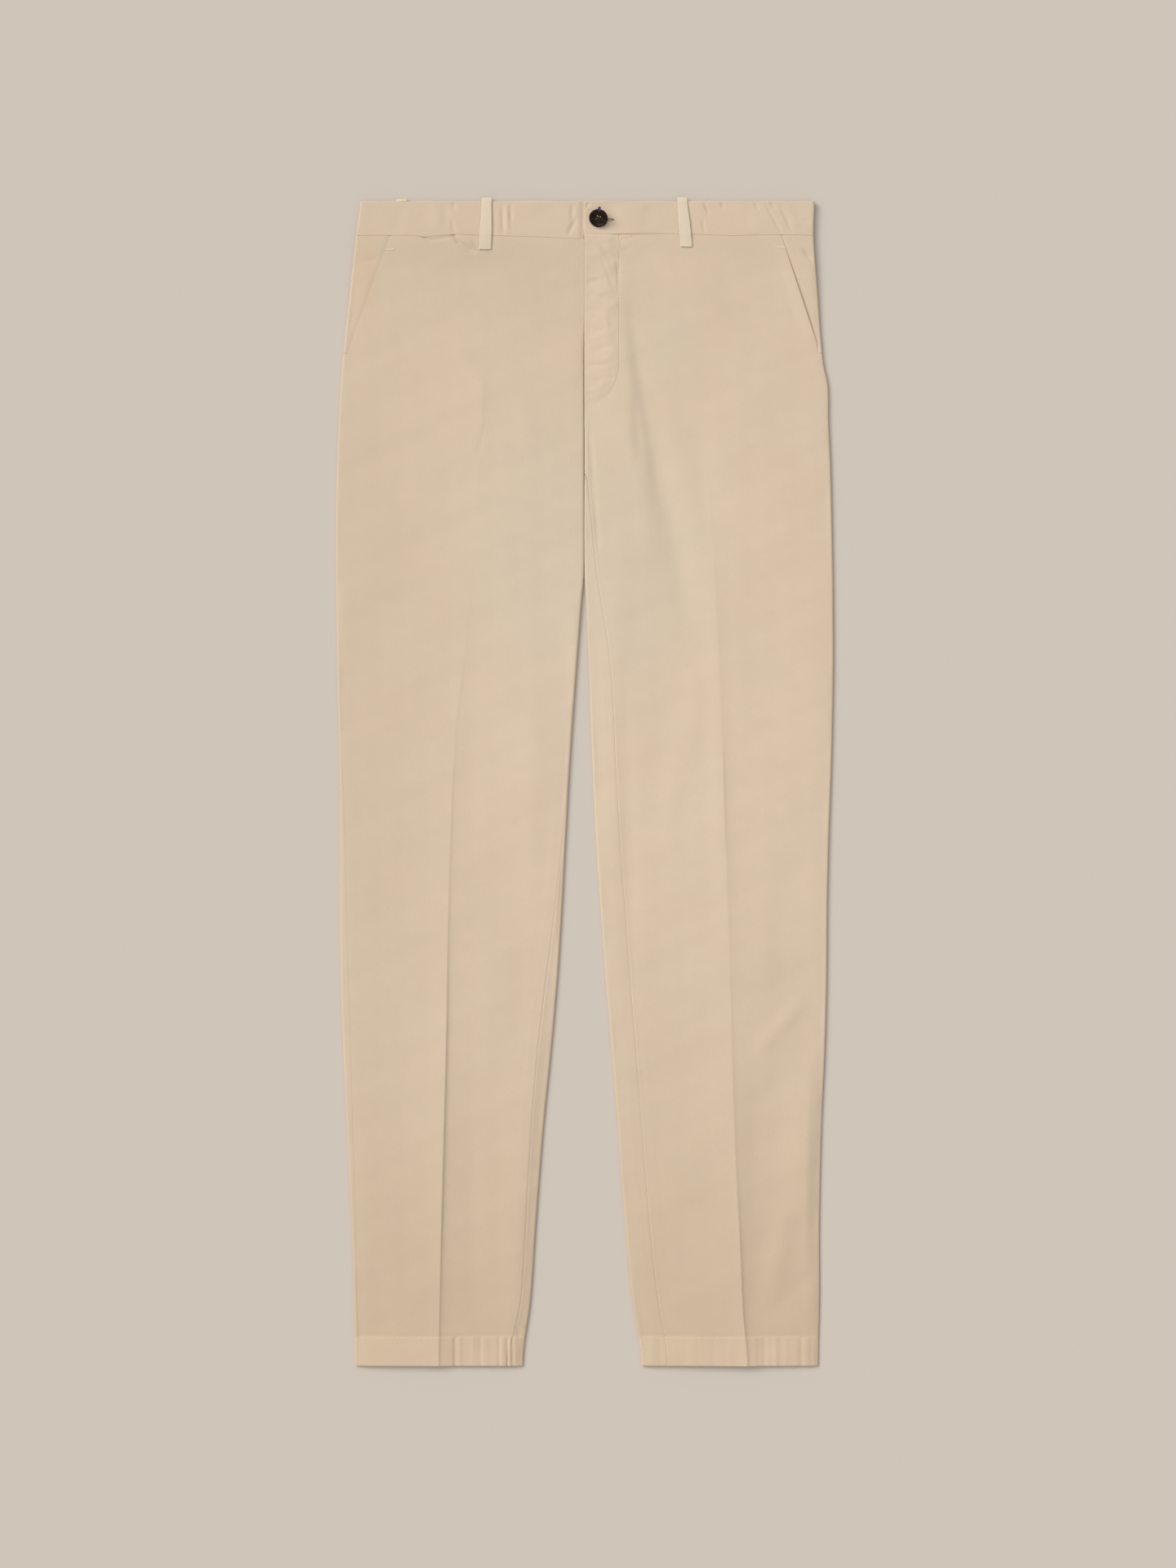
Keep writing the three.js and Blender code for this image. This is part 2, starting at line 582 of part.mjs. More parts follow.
// Belt loop: a folded strip that starts at the waistband's top edge, turned down over it where it
// stands proud, and ends on the panel below it. The same strip lies underneath on the back.
function beltLoop(loop) {
  const isFront = loop.face === "front";
  const away = isFront ? 1 : -1;
  const bandFace = isFront ? WAIST_LIFT + 2 * BAND_RADIUS : WAIST_LIFT;
  const panelFace = isFront ? WAIST_LIFT + 2 * FOLD_RADIUS : WAIST_LIFT;
  const first = Math.max(loop.dropTop, 0) + 2;
  // rows of the strip: the drop and the clearance of its underside, and the same of its upper side
  const rows = [
    { drop: first, under: LOOP_CLEAR, dropOver: first, over: LOOP_CLEAR + LOOP_CLOTH },
    { drop: BAND_DEPTH, under: LOOP_CLEAR, dropOver: BAND_DEPTH, over: LOOP_CLEAR + LOOP_CLOTH },
  ];
  if (loop.dropTop < 0) {
    const inside = loop.dropTop + LOOP_CLOTH;
    rows.unshift(
      { drop: inside, under: LOOP_CLEAR - LOOP_HOOK, dropOver: loop.dropTop, over: LOOP_CLEAR - LOOP_HOOK },
      { drop: inside, under: 0, dropOver: loop.dropTop, over: LOOP_CLOTH / 2 },
    );
  }
  const strip = (drop, z) => {
    const part = (drop - loop.dropTop) / (loop.dropLow - loop.dropTop);
    const x = mix(loop.xTop, loop.xLow, part);
    const half = mix(LOOP_WIDTHS.top, LOOP_WIDTHS.low, part) / 2;
    const height = isFront ? z : Math.max(0, z);
    return [x - half, x + half].map((edge) => new THREE.Vector3(edge, ORIGIN_DROP - drop, height));
  };
  const foot = panelFace + away * LOOP_CLEAR;
  const inner = rows.map((row) => strip(row.drop, bandFace + away * row.under));
  const outer = rows.map((row) => strip(row.dropOver, bandFace + away * row.over));
  inner.push(strip(loop.dropLow, foot));
  outer.push(strip(loop.dropLow, foot + away * LOOP_CLOTH));
  return wall(outer, inner);
}

// Booleans
function solidOf(geometry) {
  const bare = geometry.index ? geometry.toNonIndexed() : geometry.clone();
  bare.deleteAttribute("normal");
  bare.deleteAttribute("uv");
  const merged = mergeVertices(bare, 1e-4);
  return new wasm.Manifold(
    new wasm.Mesh({
      numProp: 3,
      vertProperties: new Float32Array(merged.attributes.position.array),
      triVerts: new Uint32Array(merged.index.array),
    }),
  );
}

function geometryOf(solid) {
  const mesh = solid.getMesh();
  const geometry = new THREE.BufferGeometry();
  geometry.setAttribute("position", new THREE.BufferAttribute(mesh.vertProperties, mesh.numProp));
  geometry.setIndex(new THREE.BufferAttribute(mesh.triVerts, 1));
  geometry.computeVertexNormals();
  return geometry;
}

// A prism with the outline of a shape, standing on z = low
function prism(shape, low, high) {
  const geometry = new THREE.ExtrudeGeometry(shape, {
    depth: high - low,
    bevelEnabled: false,
    curveSegments: 8,
  });
  return geometry.translate(0, 0, low);
}

function cutButtonhole(geometry) {
  const { x1, x2, drop, width, tip } = BUTTONHOLE;
  const [y, half] = [ORIGIN_DROP - drop, width / 2];
  const slot = new THREE.Shape();
  slot.moveTo(x1, y - half);
  slot.lineTo(x2 - tip, y - half);
  slot.lineTo(x2, y);
  slot.lineTo(x2 - tip, y + half);
  slot.lineTo(x1, y + half);
  slot.closePath();
  const low = WAIST_LIFT + 2 * BAND_RADIUS;
  const high = low + 2 * (OVERLAP_LIFT + BAND_CLOTH);
  return geometryOf(solidOf(geometry).subtract(solidOf(prism(slot, low, high))));
}

// Button with a raised rim, a dished middle and sewing holes, on its thread shank
function button() {
  const { radius, thickness, shank } = BUTTON;
  const profile = BUTTON_PROFILE.map(({ out, up }) => new THREE.Vector2(out * radius, up * thickness));
  let disc = solidOf(new THREE.LatheGeometry(profile, 36).rotateX(Math.PI / 2));
  for (let i = 0; i < SEWING_HOLES.count; i++) {
    const angle = ((i + 0.5) * 2 * Math.PI) / SEWING_HOLES.count;
    const hole = new THREE.CylinderGeometry(SEWING_HOLES.radius, SEWING_HOLES.radius, thickness * 2, 10);
    hole.rotateX(Math.PI / 2);
    hole.translate(SEWING_HOLES.ring * Math.cos(angle), SEWING_HOLES.ring * Math.sin(angle), 0);
    disc = disc.subtract(solidOf(hole));
  }
  const [tilt, turn] = [BUTTON.tilt, BUTTON.turn].map(THREE.MathUtils.degToRad);
  const underlapTop = WAIST_LIFT + 2 * BAND_RADIUS;
  const lowest = underlapTop + OVERLAP_LIFT + SEAM_GAP;
  const centre = lowest + radius * Math.sin(tilt) + (thickness / 2) * Math.cos(tilt);
  const turned = solidOf(geometryOf(disc).rotateX(tilt).rotateZ(turn).translate(0, 0, centre));
  const [postTop, postFoot] = [centre - thickness / 8, underlapTop + SEAM_GAP];
  const post = new THREE.CylinderGeometry(shank, shank, postTop - postFoot, 12).rotateX(Math.PI / 2);
  post.translate(0, 0, (postTop + postFoot) / 2);
  return geometryOf(turned.add(solidOf(post))).translate(BUTTON.x, ORIGIN_DROP - BUTTON.drop, 0);
}

const trousers = new THREE.Group();
function addPiece(name, geometry, finish) {
  const mesh = new THREE.Mesh(geometry, new THREE.MeshStandardMaterial(FINISHES[finish]));
  mesh.name = name;
  trousers.add(mesh);
}

for (const name of ["left", "right"]) {
  const side = new Side(name);
  const band = waistband(side);
  addPiece(`front_${name}`, frontPanel(side), "cloth");
  addPiece(`back_${name}`, backPanel(side), "cloth");
  addPiece(`pocket_facing_${name}`, pocketFacing(side), "cloth");
  addPiece(`waistband_${name}`, name === "left" ? cutButtonhole(band) : band, "cloth");
}
addPiece("fly", flyPlacket(new Side("left")), "cloth");
for (const loop of LOOPS) addPiece(loop.name, beltLoop(loop), "loop");
addPiece("button", button(), "button");

export default trousers;
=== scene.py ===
"""Chino trousers laid flat on their back: cloth, sewing, button, floor, light and camera."""

import math

import bmesh
import bpy
import numpy as np
from bpy.props import FloatProperty, FloatVectorProperty, PointerProperty
from mathutils import Matrix, Vector


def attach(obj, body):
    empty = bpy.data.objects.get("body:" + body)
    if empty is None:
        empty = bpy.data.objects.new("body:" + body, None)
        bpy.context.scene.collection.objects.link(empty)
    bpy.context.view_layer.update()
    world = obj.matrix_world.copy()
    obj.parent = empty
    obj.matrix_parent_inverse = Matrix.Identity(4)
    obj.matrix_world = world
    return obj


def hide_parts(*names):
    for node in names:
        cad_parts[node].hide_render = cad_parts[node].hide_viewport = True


bl_info = {
    "name": "Chino Trousers Laid Flat",
    "version": (1, 0, 0),
    "blender": (4, 5, 0),
    "location": "View3D > Sidebar > Trousers",
    "description": "Builds pressed cotton chinos lying flat, with their seams, stitches and button",
    "category": "Add Mesh",
}

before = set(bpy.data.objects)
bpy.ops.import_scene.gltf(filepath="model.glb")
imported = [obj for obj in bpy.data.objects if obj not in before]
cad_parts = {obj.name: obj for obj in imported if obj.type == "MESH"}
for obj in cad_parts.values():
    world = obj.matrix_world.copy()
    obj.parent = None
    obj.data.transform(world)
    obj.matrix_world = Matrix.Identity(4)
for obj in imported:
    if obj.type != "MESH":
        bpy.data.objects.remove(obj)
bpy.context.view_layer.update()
BODY = "root"
MM = 0.001

# Lengths here are millimetres. +X is the wearer's left, +Y the waist, +Z up. "drop" is a distance
# down the garment from the waistband's top edge, and "along" runs round a leg's flattened tube.
ORIGIN_DROP = 539.7
OUTSEAM = 1082.8
BAND_DEPTH = 32.0
CENTRE_FRONT = -0.5
CROTCH_DROP, CROTCH_SPAN = 249.0, 28.0
FLY_END_DROP, FLY_CURVE = 189.5, 1.25
POCKET_END_DROP = 141.0
UNDERLAP_END = 27.0

# How thick the cloth is, how far apart its pieces lie, and how round a cut edge is
BAND_CLOTH = 1.4
HEM_CLOTH = 1.5
MOUTH_CLOTH, MOUTH_THIN_REACH = 0.4, 4.0
CENTRE_GAP = 0.02
SEAM_GAP = 0.006
SEAM_ROUND = 0.12
BAND_STEP = 0.15

# The loops underneath hold the waist up, and the lift fades out down the panels
WAIST_LIFT = 1.9
LIFT_FULL_TO, LIFT_NONE_FROM = 50.0, 125.0

# The pocket mouths, and the facings tucked behind them
MOUTH_FROM_FOLD = 2.6
FACING_TUCK, FACING_RISE = 9.0, 5.0
FACING_DIP = MOUTH_CLOTH + SEAM_GAP

# The waistband's overlap: the lower end dips, and the upper end rises by what is left
UNDERLAP_DIP = 0.95
OVERLAP_LIFT = BAND_CLOTH + SEAM_GAP - UNDERLAP_DIP
OVERLAP_FULL_TO, OVERLAP_NONE_FROM = 38.0, 78.0

# Over what distance folds fade out at the side folds and at the waistband
EDGE_FADE = 12.0
WAIST_FADE = 40.0
HEAD_FADE = 60.0

# The hems' extra height, and the groove above their stitching
HEM_RELIEF = 0.45
HEM_GROOVE, HEM_GROOVE_ABOVE = 0.16, 1.6

# A seam pressed open: how far its allowances reach and lift the cloth, its groove and its lips
SEAM_ALLOWANCE, SEAM_LIFT = 9.0, 0.08
SEAM_GROOVE, SEAM_GROOVE_WIDTH = 0.10, 0.6
SEAM_LIP, SEAM_LIP_OUT, SEAM_LIP_WIDTH = 0.08, 1.6, 0.9

# The fly's puffed placket: how much it swells, and how far in from its stitching
FLY_PUFF, FLY_PUFF_REACH = 0.75, 12.0
FLY_RISE, FLY_RISE_REACH = 0.15, 3.0
FLY_ROUND = 0.9

# Where each front's centre edge turns from lying flat to rolling under: the drop and over how much
FRONT_ROLL = {"left": (FLY_END_DROP, 30.0), "right": (92.0, 60.0)}

# The cloth's unevenness: wavelength, height and seed of each set of waves
PANEL_WAVES = ((75.0, 0.28, 3), (26.0, 0.10, 5))
BAND_WAVE = (36.0, 0.16, 11)
BAND_TOP_WAVE = (24.0, 0.2, 31)
FLY_WAVES = ((13.0, 0.09, 21), (9.0, 0.12, 23))


class Table:
    """Rows of named columns, read at any place along the first one."""

    def __init__(self, names, *rows):
        self.names = names.split()
        self.columns = dict(zip(self.names, np.array(rows, dtype=float).T))
        self.key = self.columns[self.names[0]]

    def at(self, name, place):
        """The column's value on a smooth curve through the rows."""
        key, column = self.key, self.columns[name]
        place = np.clip(place, key[0], key[-1])
        i = np.clip(np.searchsorted(key, place, side="right") - 1, 0, len(key) - 2)
        slope = np.zeros(len(key))
        slope[1:-1] = (column[2:] - column[:-2]) / (key[2:] - key[:-2])
        span = key[i + 1] - key[i]
        t = (place - key[i]) / span
        rise = column[i + 1] - column[i]
        m0, m1 = slope[i] * span, slope[i + 1] * span
        return column[i] + t * (m0 + t * (3 * rise - 2 * m0 - m1 + t * (m0 + m1 - 2 * rise)))

    def straight(self, name, place):
        return np.interp(place, self.key, self.columns[name])

    def rows(self):
        return [dict(zip(self.names, row)) for row in zip(*self.columns.values())]


OUTLINE = {
    "left": Table(
        "drop outer inner",
        (0, 213.6, 0), (32, 212.9, 0), (86, 216.6, 0), (150, 222.0, 0.03), (171, 226.2, 0.04),
        (205, 226.9, 0.05), (249, 228.8, 0.06), (346, 230.8, 0.2), (372, 231.0, 1.6), (432, 231.2, 4.2),
        (519, 229.6, 7.4), (587, 227.2, 10.6), (655, 225.7, 15.0), (724, 225.1, 20.0),
        (792, 223.3, 25.8), (860, 220.2, 31.2), (952, 218.4, 38.2), (1020, 218.5, 44.6),
        (1083, 217.2, 53.2),
    ),
    "right": Table(
        "drop outer inner",
        (0, 209.0, 0), (32, 212.8, 0), (86, 218.5, 0), (131, 223.6, 0.03), (177, 227.3, 0.04),
        (222, 229.5, 0.06), (268, 231.0, 0.06), (346, 231.3, 0.2), (372, 231.0, 2.4), (441, 230.2, 7.7),
        (519, 228.4, 13.2), (587, 227.7, 17.0), (655, 227.8, 20.6), (724, 227.0, 25.0),
        (792, 224.6, 31.0), (860, 221.3, 37.8), (952, 216.9, 45.0), (1020, 214.9, 49.6),
        (1083, 213.6, 57.0),
    ),
}

# Where the seams run on the front, in from each fold; below zero, round the fold's side
SEAMS = {
    "left": Table(
        "drop inseam outseam",
        (235, -3.4, -3.4), (262, 1.5, -3.4), (346, 9.6, -3.4), (432, 18.5, -3.4), (519, 20.0, -3.4),
        (700, 21.0, -3.4), (860, 20.5, -3.4), (952, 21.0, -2.6), (1056, 22.5, -0.6), (1083, 22.0, -0.6),
    ),
    "right": Table(
        "drop inseam outseam",
        (235, -3.4, -3.4), (460, -3.4, -3.4), (540, -1.6, 1.6), (640, 3.6, 3.9), (740, 9.4, 5.6),
        (800, 10.6, 5.2), (900, 8.6, 3.0), (1010, 7.0, 1.2), (1056, 9.6, 1.0), (1083, 13.0, 1.0),
    ),
}

# How far a leg's rounded edges are pressed down, as a share of their height
EDGE_PRESS = {
    "left": Table(
        "drop outer inner",
        (0, 0, 0), (300, 0.08, 0), (640, 0.1, 0.05), (800, 0.16, 0.1), (900, 0.34, 0.1),
        (1083, 0.45, 0.1),
    ),
    "right": Table(
        "drop outer inner",
        (0, 0, 0), (350, 0.05, 0), (500, 0.1, 0.1), (640, 0.1, 0.18), (800, 0.1, 0.26),
        (1083, 0.1, 0.3),
    ),
}
EDGE_PRESS_WIDTH = 14.0

# The waistband's lower edge, which steps at the centre front
BAND_EDGE = Table(
    "x drop",
    (-214, BAND_DEPTH), (-160, 31.9), (-149, 33.5), (-138, 32.5), (-122, 31.1), (-86, 32.1),
    (-34, 33.6), (-4.6, 35.2), (CENTRE_FRONT - 0.01, 35.4), (CENTRE_FRONT + 0.01, 30.9), (79, 30.1),
    (100, 30.9), (136, 32.2), (180, 31.1), (214, BAND_DEPTH),
)

# Pressed creases: a soft ridge, and how sharply its edge is nipped
CREASES = {
    "left": Table(
        "drop x height nip",
        (200, 110, 0, 0), (270, 115.5, 0.5, 0.04), (360, 121.6, 0.8, 0.06), (480, 127, 1.1, 0.07),
        (503, 128, 1.2, 0.1), (525, 128.8, 1.3, 0.5), (575, 130.2, 1.4, 0.45), (610, 131.7, 1.5, 0.18),
        (720, 135.2, 1.7, 0.15), (815, 137.7, 2.1, 0.35), (900, 140.8, 2.7, 0.4), (960, 144, 3.2, 0.8),
        (1030, 147, 3.5, 1.0), (1083, 151, 3.4, 0.7),
    ),
    "right": Table(
        "drop x height nip",
        (150, -92, 0, 0), (180, -94, 0.6, 0.16), (235, -97.5, 0.5, 0.14), (270, -100, 0.4, 0),
        (400, -110, 0.5, 0), (430, -112.5, 0.7, 0.12),
        (480, -119, 0.8, 0.14), (512, -121, 1.0, 0.16), (545, -123, 1.3, 0.4), (620, -125.6, 1.5, 0.45),
        (700, -127.4, 1.6, 0.85), (770, -128.4, 1.7, 1.5), (860, -130.6, 1.8, 1.7),
        (940, -132.8, 2.0, 1.6), (1010, -134.4, 2.2, 1.1), (1083, -135.6, 2.3, 0.8),
    ),
}
CREASE_RISE_WIDTH, CREASE_FALL_WIDTH, NIP_WIDTH = 44.0, 14.0, 1.3

# Soft folds of the legs, each along a line; a valley has a height below zero
FOLDS = Table(
    "x1 drop1 x2 drop2 height width",
    (34, 110, 62, 340, 1.2, 12),
    (36, 75, 100, 410, -1.5, 11),
    (40, 95, 70, 285, -0.6, 5),
    (76, 180, 124, 400, 1.3, 14),
    (116, 340, 134, 720, 0.6, 9),
    (40, 20, 158, 140, 0.9, 13),
    (112, 420, 66, 620, 1.2, 15),
    (36, 420, 44, 760, -1.0, 8),
    (207, 738, 157, 796, 1.2, 7.5),
    (218, 776, 150, 850, -0.6, 13),
    (190, 600, 176, 800, -0.8, 15),
    (208, 790, 205, 1000, 1.7, 22),
    (188, 930, 173, 1030, 1.6, 11),
    (222, 990, 160, 1042, -0.4, 6),
    (-190, 130, -150, 420, -0.8, 22),
    (-70, 90, -40, 430, 1.1, 34),
    (-40, 380, -56, 700, 0.9, 16),
    (-108, 820, -104, 1040, -0.7, 12),
    (-38, 640, -74, 1130, 1.2, 16),
)

# Small wrinkles pressed or pulled into the panels, as short ridges and troughs
WRINKLE_DEPTH = 1.4
WRINKLES = Table(
    "x1 drop1 x2 drop2 height width",
    (-153, 33, -141, 37, -0.8, 1.0),
    (-145, 36.4, -121, 33, -0.7, 1.2),
    (-125, 28, -115.5, 41, -1.2, 1.3),
    (-120, 36, -101, 49, -1.3, 1.5),
    (-120, 31, -104, 43, 0.5, 3.0),
    (-105, 36, -99.5, 45, -0.4, 1.4),
    (-102, 43, -95, 47.5, -0.4, 1.3),
    (202, 45.5, 213, 55.5, -1.5, 1.4),
    (-207, 54.6, -189, 54, -0.6, 1.2),
    (209, 56, 218, 61, -0.7, 1.2),
    (186, 62, 206, 70, -0.3, 2.0),
    (9, 40, 32, 57, -1.0, 1.3),
    (30.6, 54, 31.6, 90, -0.4, 1.3),
    (8, 40, 30, 56, 0.35, 2.4),
    (15, 55, 22.5, 66, -0.5, 1.5),
    (29, 57, 32, 72, -0.45, 1.5),
    (-1, 76, 15, 73.5, -0.55, 1.3),
    (0, 62, 16, 66, -0.4, 1.5),
    (14, 42, 26, 58, -0.5, 1.5),
    (20, 66, 29, 84, -0.45, 1.6),
    (35, 47, 43.5, 43, -0.35, 1.4),
    (0, 88, 12, 86, -0.3, 1.4),
    (0, 100, 19, 101.5, -0.35, 1.4),
    (10, 88, 28, 92, -0.32, 1.8),
    (2, 111, 12, 109, -0.3, 1.3),
    (1, 119, 26, 121, -0.32, 1.6),
    (6, 138, 29, 134, -0.3, 1.5),
    (2, 151, 22, 153.5, -0.35, 1.5),
    (7, 167, 27, 163, -0.3, 1.5),
    (18, 104, 22, 120, 0.3, 2.2),
    (45, 176, 52, 250, -0.8, 5),
    (4, 210, 9, 270, -0.5, 2.2),
    (8, 262, 13, 330, -0.5, 2.6),
    (-60, 38, -30, 70, -0.3, 7),
    (-150, 60, -110, 90, 0.25, 9),
    (-180, 110, -140, 190, -0.25, 9),
    (-120, 120, -90, 190, 0.3, 9),
    (-60, 170, -52, 240, 0.25, 8),
    (-95, 210, -99, 240, -0.35, 3),
    (120, 60, 170, 110, -0.3, 9),
    (60, 44, 95, 90, 0.3, 8),
    (-64, 1046, -61, 1055, -0.4, 1.6),
    (-58, 1043, -56, 1053, 0.35, 1.6),
)

# Wrinkles of the turned-up hems, all running down to the edge
HEM_WRINKLES = Table(
    "x height width",
    (-120.6, -0.9, 1.4), (-116, 0.45, 1.3), (-104, 0.3, 2.4), (-97.3, -0.55, 1.1), (-92, 0.3, 2.6),
    (-79.8, -0.6, 0.9), (-76.2, 0.45, 1.4), (-71.9, -0.9, 0.9), (-69.4, 0.4, 1.0),
    (-67.3, -0.6, 0.9), (-64, 0.3, 1.4), (62, 0.3, 3.0), (70, -0.25, 1.6), (100, 0.25, 4.0),
    (120, -0.2, 3.0), (136, 0.2, 3.0), (158, 0.35, 2.6), (166.9, -0.45, 1.4), (177.6, 0.5, 2.2),
    (187, 0.3, 2.0), (201.4, -0.7, 2.2), (210.8, -0.4, 1.6),
)

# Dents and ripples of the waistband, each from its upper end to its lower end
BAND_WRINKLE_DEPTH = 2.2
BAND_WRINKLES = Table(
    "x1 drop1 x2 drop2 height width",
    (-76.8, 3, -75.5, 32, -0.55, 1.7),
    (-72.5, 1, -71.5, 30, 0.35, 1.8),
    (-69.2, 1, -68.6, 22, -0.4, 1.6),
    (-123.6, 16, -121.6, 32, -0.4, 1.4),
    (-140, 2, -136, 28, 0.25, 5),
    (-170, 4, -176, 30, -0.2, 6),
    (-7.6, 14, -16, 30, -0.6, 1.7),
    (-11.4, 2, -12.2, 18, -0.45, 1.6),
    (4.6, 1, 0.8, 7, -0.5, 1.1),
    (-131, 3, -127, 25, -0.25, 3.5),
    (-122, 0.5, -121.5, 9, -0.35, 1.1),
    (110.5, 1, 115.8, 13, -0.7, 1.0),
    (109.5, 16, 111.5, 32, -0.35, 1.2),
    (126, 1, 129.5, 7, -0.6, 1.0),
    (158, 1, 161, 8, -0.4, 1.1),
    (172, 0.5, 177, 8, -0.5, 1.1),
    (167.5, 2, 184, 33, -0.4, 1.1),
    (181, 3, 193, 30, -0.45, 1.2),
    (187, 2, 199, 26, 0.22, 2.4),
    (203, 16, 210, 24, -0.3, 1.3),
    (150, 4, 154, 28, -0.12, 4),
    (60, 3, 58, 28, -0.15, 6),
)

# Patches of painted light and shade, paler or darker in thousandths of the cloth's brightness, and patches
# of cooler hue
PAINTED_LIGHT_AND_HUE = Table(
    "x drop reach_x reach_drop tone cool",
    (-205, 560, 60, 420, -28, 0),
    (-75, 450, 60, 260, 34, 0),
    (-18, 430, 22, 240, 34, 0),
    (19, 440, 12, 150, 62, 0),
    (24, 570, 12, 90, 16, 0),
    (122, 350, 18, 150, 34, 0),
    (97, 534, 16, 50, 44, 0),
    (79, 582, 14, 36, 26, 0),
    (115, 275, 16, 40, 42, 0),
    (180, 475, 24, 36, 30, 0),
    (-12, 420, 9, 40, 30, 0),
    (4, 424, 7, 40, -34, 0),
    (-30, 686, 12, 60, 20, 0),
    (-9, 100, 10, 100, -26, 0),
    (-3.5, 160, 4.5, 110, -50, 0),
    (124, 95, 11, 12, -24, 0),
    (76, 88, 24, 32, 14, 0),
    (180, 500, 60, 260, 10, 0),
    (118, 480, 100, 330, 30, 0),
    (-103, 552, 18, 50, 26, 0),
    (-67, 715, 14, 50, -24, 0),
    (176, 806, 28, 80, -36, 0),
    (184, 716, 24, 38, -44, 0),
    (80, 792, 60, 42, -28, 0),
    (152, 895, 8, 50, -34, 0),
    # Painted light over the shadows of the button and the front loops, and a painted highlight on the fly's
    # corner
    (22, 24, 13, 9, 55, 0),
    (37, 36, 7, 4, 50, 0),
    (28, 12, 8, 7, 50, 0),
    (34, 28, 12, 6, 24, 0),
    (-84, 26, 5, 24, 40, 0),
    (99, 12, 5, 16, 36, 0),
    (-122, 1070, 5, 12, -70, 0),
    (-67, 1070, 8, 12, -50, 0),
    (84, 1070, 12, 12, 22, 0),
    (171, 1070, 8, 12, 40, 0),
    (206, 1070, 9, 12, -28, 0),
    (-130, 49, 120, 17, -56, 0),
    (140, 42, 90, 16, -36, 0),
    (-60, 90, 60, 50, -25, 0),
    (16, 130, 20, 90, 68, 0),
    (43, 154, 9, 44, -30, 0),
    (-202, 66, 12, 36, -10, -1.6),
    (-46, 330, 62, 130, 0, 1.0),
    (52, 340, 58, 120, 0, 1.0),
    (78, 125, 26, 40, 0, 0.6),
)
COOL_SHIFT = (0.985, 1.012, 1.036)
# Over these drops the lower legs turn darker and warmer: painted shade where the light falls off, with a
# warmer hue
LOW_LEG_FROM, LOW_LEG_TO = 740.0, 1070.0
HEM_PALENESS = 0.06

# Slanted pocket mouths: the x of the upper end, its drop, and how far they lean out
MOUTHS = {"left": (182.1, 31.6, 0.335), "right": (179.6, 31.0, 0.367)}

# How far each mouth stands open, between which drops, and how wide its lifted lip is
MOUTH_GAPE = {"left": 1.7, "right": 0.0}
MOUTH_OPEN_FROM, MOUTH_OPEN_TO = 40.0, POCKET_END_DROP - 4
MOUTH_LIP = 13.0

# Belt loops: their face, x and width of each end, and the drops they span
LOOPS = {
    "loop_front_left": dict(up=1, x=(90.4, 94.6), width=(9.0, 10.8), drop=(-3.4, 42.8)),
    "loop_front_right": dict(up=1, x=(-90.8, -92.6), width=(9.0, 11.4), drop=(-3.2, 45.2)),
    "loop_side_left": dict(up=-1, x=(168, 168), width=(10, 10), drop=(2.0, 44)),
    "loop_side_right": dict(up=-1, x=(-170, -170), width=(10, 10), drop=(-2.1, 44)),
    "loop_centre_back": dict(up=-1, x=(0, 0), width=(10, 10), drop=(2.0, 44)),
}

# How thick a loop is and how far it stands off, how it bows between its ends, and its crowned face
# with a groove beside each edge
LOOP_CLOTH, LOOP_CLEAR = 1.1, 0.12
LOOP_BOW = 0.4
LOOP_CROWN = 0.18
LOOP_GROOVE, LOOP_GROOVE_IN, LOOP_GROOVE_WIDTH = 0.12, 1.7, 0.45

# How a loop turns over the band's top edge, as height over the face and distance in from the end
LOOP_BEND = [(-1.8, 0.0), (-1.0, 0.0), (-0.2, 0.04), (0.35, 0.35)]
LOOP_TUCK = [(-1.9, 1.15), (-1.9, 0.7), (-1.75, 0.3), (-1.4, 0.08)]

# The button: the x and drop of its middle, its size, and in degrees how it tips and turns
BUTTON_PLACE = (12.7, 16.8)
BUTTON_RADIUS, BUTTON_THICKNESS = 8.8, 2.6
BUTTON_TILT, BUTTON_TURN = 29.0, -15.0
BUTTON_CLEAR = 0.15
BUTTON_SEGMENTS = 64
BUTTON_HOLE_RADIUS, BUTTON_HOLE_OUT = 0.85, 1.9
BUTTON_THREAD, MARKING_THREAD = 0.28, 0.42
KNOT_X = -1.3

# The button's profile: share of its radius, and height over its middle as a share of its thickness
BUTTON_PROFILE = [
    (0, -0.5), (0.6, -0.5), (0.84, -0.44), (0.95, -0.26), (1, 0.0), (0.99, 0.22), (0.955, 0.4),
    (0.9, 0.49), (0.84, 0.5), (0.78, 0.42), (0.73, 0.28), (0.66, 0.14), (0.56, 0.06), (0.4, 0.0),
    (0.25, -0.03), (0, -0.04),
]

# The slit ends in a point towards the side, this long
BUTTONHOLE = dict(x1=6.5, x2=27.4, drop=17.5, width=1.0)
BUTTONHOLE_POINT = 3

# Where the lines of sewing run: the x of each end, and the drop
HEM_LINES = {"left": (56, 215), "right": (-211, -60)}
POCKET_TACKS = {"right": (-185.4, -177.4, 45), "left": (179.2, 186.0, 43)}
FLY_TOP_LINE = [(32.2, 46), (32.0, 38), (32.8, 35.4), (34.8, 33.6), (43, 32.4)]


